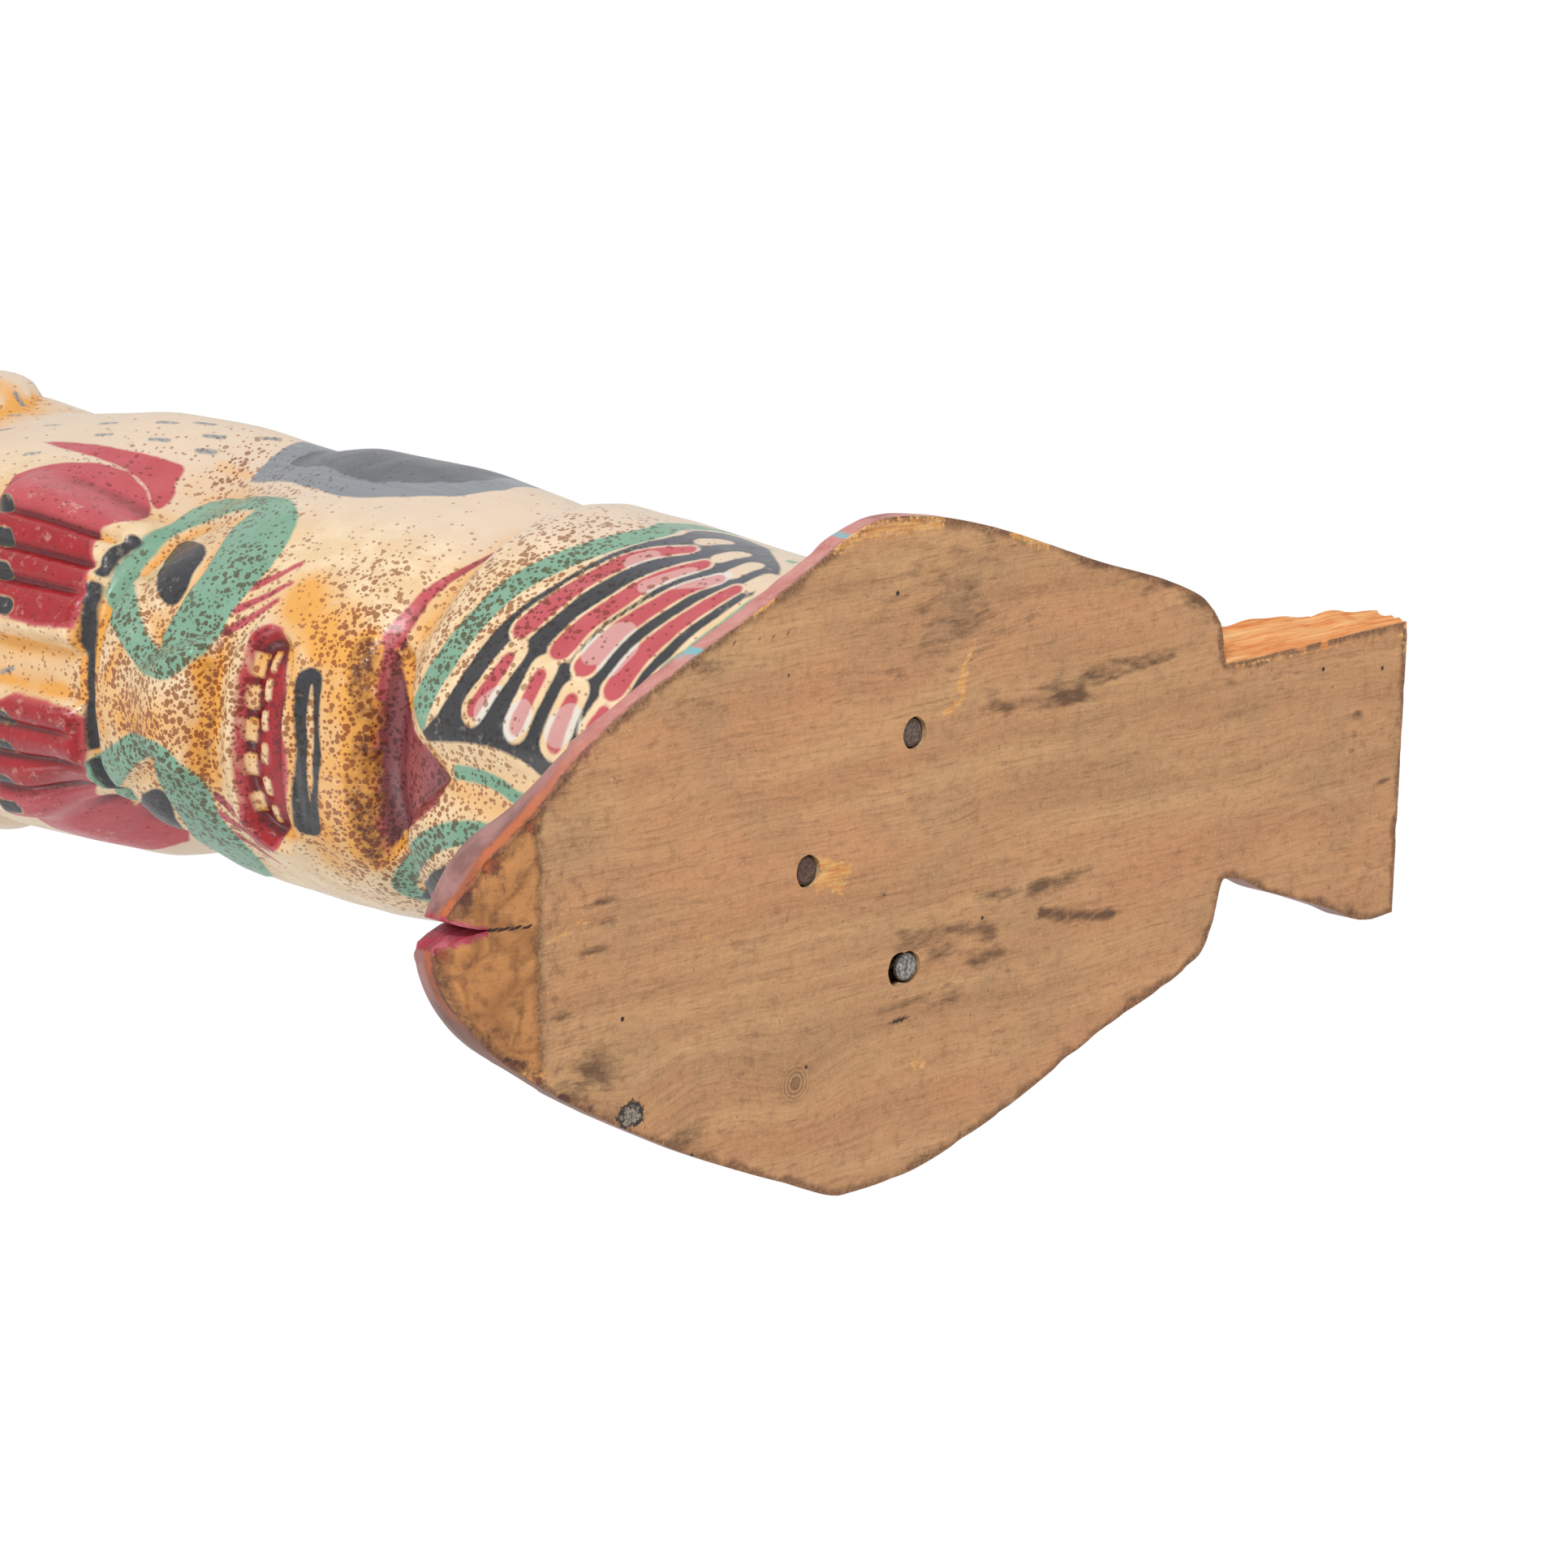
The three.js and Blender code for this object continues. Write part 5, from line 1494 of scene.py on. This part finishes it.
cracked = wood.ramp(wood.sum("ADD", wood.number("crack"), wood.ramp(wool, 0.3, 0.7, -0.2, 0.1)), 0.3, 0.6)
raw = wood.mixed(cracked, raw, paint(52, 34, 26))
print("raw wood made of", len(wood.tree.nodes), "nodes")

# %% [markdown]
# The finish on the edges is old: thin red at the sides, dark varnish round the snout, and a top in cream
# with a green band inside a red border. The photograph shows only the edges, so the top is a guess in the
# same colours.

# %% Painted sides and top
high = wood.number("up")
edge_noise = wood.clouds(9, 4, 0.6, wood.stretched(1, 0.4, 1))
edge_fine = wood.clouds(1.4, 4, 0.7, wood.stretched(1, 0.3, 1))
snout_share = wood.ramp(y_place, -0.128, -0.158)
rim_paint = wood.mixed(wood.ramp(edge_noise, 0.35, 0.65), paint(206, 146, 136), paint(184, 104, 98))
rim_paint = wood.mixed(wood.ramp(edge_fine, 0.55, 0.7, 0, 0.6), rim_paint, paint(206, 172, 160))
rim_paint = wood.mixed(wood.ramp(edge_noise, 0.58, 0.68, 0, 0.7), rim_paint, paint(120, 78, 76))
snout_paint = wood.mixed(wood.ramp(edge_noise, 0.35, 0.6), paint(122, 78, 74), paint(166, 118, 112))
varnish = wood.mixed(wood.ramp(edge_noise, 0.4, 0.7), paint(188, 102, 58), paint(134, 72, 46))
varnish = wood.mixed(wood.ramp(edge_fine, 0.56, 0.7, 0, 0.8), varnish, paint(84, 52, 42))
low_part = wood.ramp(wood.sum("ADD", high, wood.ramp(edge_noise, 0, 1, -2.0, 2.0)), 5.4, 3.6)
snout_paint = wood.mixed(low_part, snout_paint, varnish)
rim_paint = wood.mixed(snout_share, rim_paint, snout_paint)
left_side = wood.ramp(axes["X"], -0.012, -0.024)
rim_paint = wood.mixed(wood.sum("MULTIPLY", left_side, 0.65), rim_paint, paint(112, 78, 62))
top_cream = wood.mixed(wood.clouds(12, 3), paint(222, 190, 146), paint(238, 212, 170))
top_red = wood.mixed(edge_noise, paint(168, 46, 54), paint(196, 74, 76))
inward = wood.sum("MULTIPLY", wood.number("rim"), -1)
in_from_rim = wood.sum("ADD", inward, wood.ramp(edge_noise, 0, 1, -1.2, 1.2))
top_paint = wood.mixed(wood.ramp(in_from_rim, 21.5, 22.5), top_red, top_cream)
green_band = wood.sum("MULTIPLY", wood.ramp(in_from_rim, 14.0, 15.0), wood.ramp(in_from_rim, 19.5, 18.5))
top_paint = wood.mixed(green_band, top_paint, paint(112, 164, 140))
top_share = wood.ramp(in_from_rim, 8.5, 10.5)
rim_paint = wood.mixed(top_share, rim_paint, top_paint)
drip_noise = wood.ramp(edge_fine, 0.3, 0.7, -0.25, 0.2)
drip = wood.ramp(wood.sum("ADD", wood.number("drip"), drip_noise), 0.35, 0.55)
rim_paint = wood.mixed(drip, rim_paint, paint(124, 178, 184))
print("with the paint", len(wood.tree.nodes), "nodes")

# %% [markdown]
# The paint ends where the edge turns into the underside, and it is rubbed off there in an uneven dark line.
# The break, the notch and the nail pockets come on top, since they were cut or torn after the painting.

# %% Wear at the rim, the break and the notch
rub = wood.sum("ADD", high, wood.ramp(wood.clouds(3, 4, 0.65), 0.3, 0.7, -0.9, 0.2))
colour = wood.mixed(wood.ramp(rub, 0.25, 0.75), raw, rim_paint)
line_shape = wood.ramp(wood.sum("ABSOLUTE", wood.sum("SUBTRACT", rub, 0.6)), 1.1, 0.2)
line_gaps = wood.ramp(wood.clouds(5, 4, 0.7), 0.42, 0.6, 0.1, 0.85)
dark_line = wood.sum("MULTIPLY", line_shape, line_gaps)
dark_line = wood.sum("MULTIPLY", dark_line, wood.ramp(snout_share, 0, 1, 0.45, 1.0))
colour = wood.mixed(dark_line, colour, paint(74, 44, 38))
strand = wood.clouds(0.8, 4, 0.6, wood.stretched(1, 0.03, 1))
fresh = wood.mixed(wood.ramp(strand, 0.35, 0.65), paint(214, 124, 62), paint(240, 176, 112))
pale_strand = wood.clouds(3, 3, 0.6, wood.stretched(1, 0.05, 1))
fresh = wood.mixed(wood.ramp(pale_strand, 0.5, 0.7, 0, 0.6), fresh, paint(250, 210, 150))
colour = wood.mixed(wood.ramp(wood.number("broken"), 0.3, 0.7), colour, fresh)
notch_red = wood.mixed(wood.ramp(edge_noise, 0.4, 0.6), paint(158, 22, 50), paint(196, 104, 116))
notch_red = wood.mixed(wood.ramp(edge_fine, 0.52, 0.66, 0, 0.8), notch_red, paint(120, 62, 56))
in_notch = wood.sum("ADD", wood.number("notch"), wood.ramp(edge_fine, 0.2, 0.8, -1.4, 1.4))
colour = wood.mixed(wood.ramp(in_notch, 1.5, 0.5), colour, notch_red)
pocket = wood.mixed(pores, paint(40, 26, 18), paint(96, 58, 32))
colour = wood.mixed(wood.ramp(wood.number("pit"), 0.12, -0.1), colour, pocket)
painted = wood.sum("MULTIPLY", wood.ramp(rub, 0.25, 0.75), wood.ramp(wood.number("broken"), 0.7, 0.3))
shine = wood.ramp(painted, 0, 1, 0.74, 0.42)
board_wood = wood.finish(
    base_color=colour,
    roughness=shine,
    normal=wood.bumps((long_pores, 0.35), (wool, 0.10), (strand, 0.12)),
    specular_ior_level=0.4,
)
board.data.materials.clear()
board.data.materials.append(board_wood)
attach(board, "root")
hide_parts("base_board")
print("board wood made of", len(wood.tree.nodes), "nodes")

# %% [markdown]
# The three nails are alike, so Geometry Nodes make them: one nail is put together from a head, a shank and
# a point, and a copy of it goes to each of three marks. The marks carry a number that says how rusty the
# nail is, and the copies keep it, so one material serves all three.

# %% Nails by Geometry Nodes
def join_tree(name, sockets):
    tree = bpy.data.node_groups.new(name, "GeometryNodeTree")
    tree.interface.new_socket("Geometry", in_out="INPUT", socket_type="NodeSocketGeometry")
    for socket_name, kind, value in sockets:
        socket = tree.interface.new_socket(socket_name, in_out="INPUT", socket_type=kind)
        if value is not None:
            socket.default_value = value
    tree.interface.new_socket("Geometry", in_out="OUTPUT", socket_type="NodeSocketGeometry")
    return tree, tree.nodes.new("NodeGroupInput"), tree.nodes.new("NodeGroupOutput")


def node_in(tree, kind, inputs=(), **settings):
    node = tree.nodes.new(kind)
    for key, value in settings.items():
        setattr(node, key, value)
    for key, value in dict(inputs).items():
        if isinstance(value, bpy.types.NodeSocket):
            tree.links.new(value, node.inputs[key])
        else:
            node.inputs[key].default_value = value
    return node


def moved(tree, geometry, z, flip=0.0):
    node = node_in(tree, "GeometryNodeTransform", {"Geometry": geometry, "Rotation": (flip, 0.0, 0.0)})
    height = node_in(tree, "ShaderNodeCombineXYZ", {"Z": z})
    tree.links.new(height.outputs[0], node.inputs["Translation"])
    return node.outputs[0]


def math_in(tree, operation, a, b):
    return node_in(tree, "ShaderNodeMath", {0: a, 1: b}, operation=operation).outputs[0]


tree, given, result = join_tree("nail_maker", [
    ("Head Radius", "NodeSocketFloat", 3.7 * MM), ("Head Thickness", "NodeSocketFloat", 1.7 * MM),
    ("Shank Radius", "NodeSocketFloat", 1.65 * MM), ("Length", "NodeSocketFloat", 51.5 * MM),
    ("Point", "NodeSocketFloat", 5 * MM), ("Steel", "NodeSocketMaterial", None),
])
ask = given.outputs
crown_height = math_in(tree, "MULTIPLY", ask["Head Thickness"], 0.35)
rim_height = math_in(tree, "SUBTRACT", ask["Head Thickness"], crown_height)
crown_node = node_in(tree, "GeometryNodeMeshCone", {
    "Vertices": 48, "Side Segments": 3, "Fill Segments": 6, "Radius Bottom": ask["Head Radius"],
    "Radius Top": math_in(tree, "MULTIPLY", ask["Head Radius"], 0.78), "Depth": crown_height})
rim_node = node_in(tree, "GeometryNodeMeshCylinder", {
    "Vertices": 48, "Side Segments": 2, "Fill Segments": 2, "Radius": ask["Head Radius"],
    "Depth": rim_height})
body_length = math_in(tree, "SUBTRACT", ask["Length"], ask["Head Thickness"])
shank_length = math_in(tree, "SUBTRACT", body_length, ask["Point"])
shank_node = node_in(tree, "GeometryNodeMeshCylinder", {
    "Vertices": 24, "Side Segments": 12, "Fill Segments": 1, "Radius": ask["Shank Radius"],
    "Depth": shank_length})
point_node = node_in(tree, "GeometryNodeMeshCone", {
    "Vertices": 24, "Side Segments": 4, "Fill Segments": 1, "Radius Bottom": ask["Shank Radius"],
    "Radius Top": 0.0002, "Depth": ask["Point"]})
rim_middle = math_in(tree, "ADD", crown_height, math_in(tree, "MULTIPLY", rim_height, 0.5))
shank_middle = math_in(tree, "ADD", ask["Head Thickness"], math_in(tree, "MULTIPLY", shank_length, 0.5))
joined_up = node_in(tree, "GeometryNodeJoinGeometry")
for geometry in (
    moved(tree, crown_node.outputs["Mesh"], crown_height, math.pi),
    moved(tree, rim_node.outputs["Mesh"], rim_middle),
    moved(tree, shank_node.outputs["Mesh"], shank_middle),
    moved(tree, point_node.outputs["Mesh"], math_in(tree, "SUBTRACT", ask["Length"], ask["Point"])),
):
    tree.links.new(geometry, joined_up.inputs[0])
one_nail = {"Points": ask["Geometry"], "Instance": joined_up.outputs[0]}
copies = node_in(tree, "GeometryNodeInstanceOnPoints", one_nail)
real = node_in(tree, "GeometryNodeRealizeInstances", {"Geometry": copies.outputs[0]})
finished = node_in(tree, "GeometryNodeSetMaterial", {"Geometry": real.outputs[0], "Material": ask["Steel"]})
tree.links.new(finished.outputs[0], result.inputs[0])
print("nail maker with", len(tree.nodes), "nodes")

# %% [markdown]
# Two of the nails are rusty and dull, and the third is still bright. Both looks are mixed by the number that
# each nail carries, and small pits break up the shine.

# %% Steel of the nails
steel = Recipe("old_nail_steel")
rusty = steel.number("rust")
pitting = steel.clouds(0.9, 5, 0.7)
rust = steel.mixed(steel.ramp(pitting, 0.35, 0.65), paint(64, 46, 40), paint(128, 96, 78))
rust = steel.mixed(steel.ramp(steel.clouds(0.5, 4), 0.55, 0.75, 0, 0.7), rust, paint(168, 158, 152))
bright = steel.mixed(steel.ramp(pitting, 0.4, 0.6), paint(112, 108, 106), paint(206, 204, 200))
bright = steel.mixed(steel.ramp(steel.clouds(0.6, 4), 0.6, 0.75, 0, 0.6), bright, paint(96, 70, 52))
nail_steel = steel.finish(
    base_color=steel.mixed(rusty, bright, rust),
    metallic=steel.ramp(rusty, 0, 1, 0.85, 0.25),
    roughness=steel.ramp(rusty, 0, 1, 0.38, 0.62),
    normal=steel.bumps((pitting, 0.5)),
)
print("steel made of", len(steel.tree.nodes), "nodes")

# %% [markdown]
# Now the three marks. They are single points in the pockets, with the rust of each nail written on them, and
# the nail maker puts a nail on every one. The result is kept as a plain mesh.

# %% Three nails on their marks
RUST_OF_NAILS = [0.9, 1.0, 0.1]
NAIL_LIFT = 0.05


def made_by_nodes(obj, tree, values):
    """Run a node tree on an object and keep the result as a plain mesh."""
    modifier = obj.modifiers.new("maker", "NODES")
    modifier.node_group = tree
    for item in tree.interface.items_tree:
        if item.item_type == "SOCKET" and item.in_out == "INPUT" and item.name in values:
            modifier[item.identifier] = values[item.name]
    evaluated = obj.evaluated_get(bpy.context.evaluated_depsgraph_get())
    mesh = bpy.data.meshes.new_from_object(evaluated)
    obj.modifiers.clear()
    obj.data = mesh
    return obj


marks = bpy.data.meshes.new("nail_marks")
marks.from_pydata([(nx * MM, ny * MM, (sunk + NAIL_LIFT) * MM) for nx, ny, sunk in NAILS], [], [])
write_number(marks, "rust", np.array(RUST_OF_NAILS))
nails = made_by_nodes(new_object("three_nails", marks), tree, {"Steel": nail_steel})
nails.data.name = "three_nails"
shade_smooth(nails.data, 40)
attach(nails, "root")
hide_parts("nail_right", "nail_front", "nail_left")
print("three_nails", len(nails.data.polygons), "faces")

# %% [markdown]
# The stage comes last. The part stands upright, and the camera looks at the underside of its board, so a
# floor would hide it. This floor is one-way: from above it is plain and pale, and a view from below passes
# through its back.

# %% Floor
FLOOR_REACH, FLOOR_Z = 3, -0.0005
corners = [(-1, -1), (1, -1), (1, 1), (-1, 1)]
floor_mesh = bpy.data.meshes.new("floor")
floor_mesh.from_pydata([(a * FLOOR_REACH, b * FLOOR_REACH, FLOOR_Z) for a, b in corners], [], [(0, 1, 2, 3)])
floor = new_object("floor", floor_mesh)
ground = Recipe("pale_floor")
ground.finish(base_color=paint(232, 230, 226), roughness=0.8)
camera_ray = ground.add("ShaderNodeLightPath").outputs["Is Camera Ray"]
back = ground.add("ShaderNodeNewGeometry").outputs["Backfacing"]
front_only = ground.add("ShaderNodeMath", {0: camera_ray, 1: back}, operation="SUBTRACT", use_clamp=True)
clear = ground.add("ShaderNodeBsdfTransparent")
one_way = ground.add("ShaderNodeMixShader", {
    0: front_only.outputs[0], 1: clear.outputs[0], 2: ground.shader.outputs[0],
})
ground.feed(ground.tree.nodes["Material Output"].inputs["Surface"], one_way.outputs[0])
floor_mesh.materials.append(ground.material)
print("floor of", 2 * FLOOR_REACH, "m")

# %% [markdown]
# The photograph's light is that of a white studio: bright from all sides, with a soft key and a weak fill.
# The backdrop is pure white to the camera, while the light that it gives is a little less.

# %% World and lights
WHITE = (1.0, 1.0, 1.0, 1.0)
scene = bpy.context.scene
scene.view_settings.view_transform = "Standard"
world = bpy.data.worlds.new("studio")
scene.world = world
world.use_nodes = True
sky = world.node_tree
pale = sky.nodes["Background"]
pale.inputs["Color"].default_value = WHITE
pale.inputs["Strength"].default_value = 0.75
backdrop = sky.nodes.new("ShaderNodeBackground")
backdrop.inputs["Color"].default_value = WHITE
seen = sky.nodes.new("ShaderNodeLightPath")
choice = sky.nodes.new("ShaderNodeMixShader")
sky.links.new(seen.outputs["Is Camera Ray"], choice.inputs[0])
sky.links.new(pale.outputs[0], choice.inputs[1])
sky.links.new(backdrop.outputs[0], choice.inputs[2])
sky.links.new(choice.outputs[0], sky.nodes["World Output"].inputs["Surface"])


def soft_light(name, place, target, size, power):
    data = bpy.data.lights.new(name, "AREA")
    data.shape = "DISK"
    data.size = size
    data.energy = power
    lamp = bpy.data.objects.new(name, data)
    lamp.location = place
    lamp.rotation_euler = (Vector(target) - Vector(place)).to_track_quat("-Z", "Y").to_euler()
    scene.collection.objects.link(lamp)
    return lamp


lamps = [
    soft_light("key", (1.6, -1.3, -0.6), (0, 0, 0.2), 0.5, 22),
    soft_light("fill", (-1.2, -1.8, 0.9), (0, 0, 0.3), 1.4, 8),
]
print("lamps", [lamp.name for lamp in lamps])
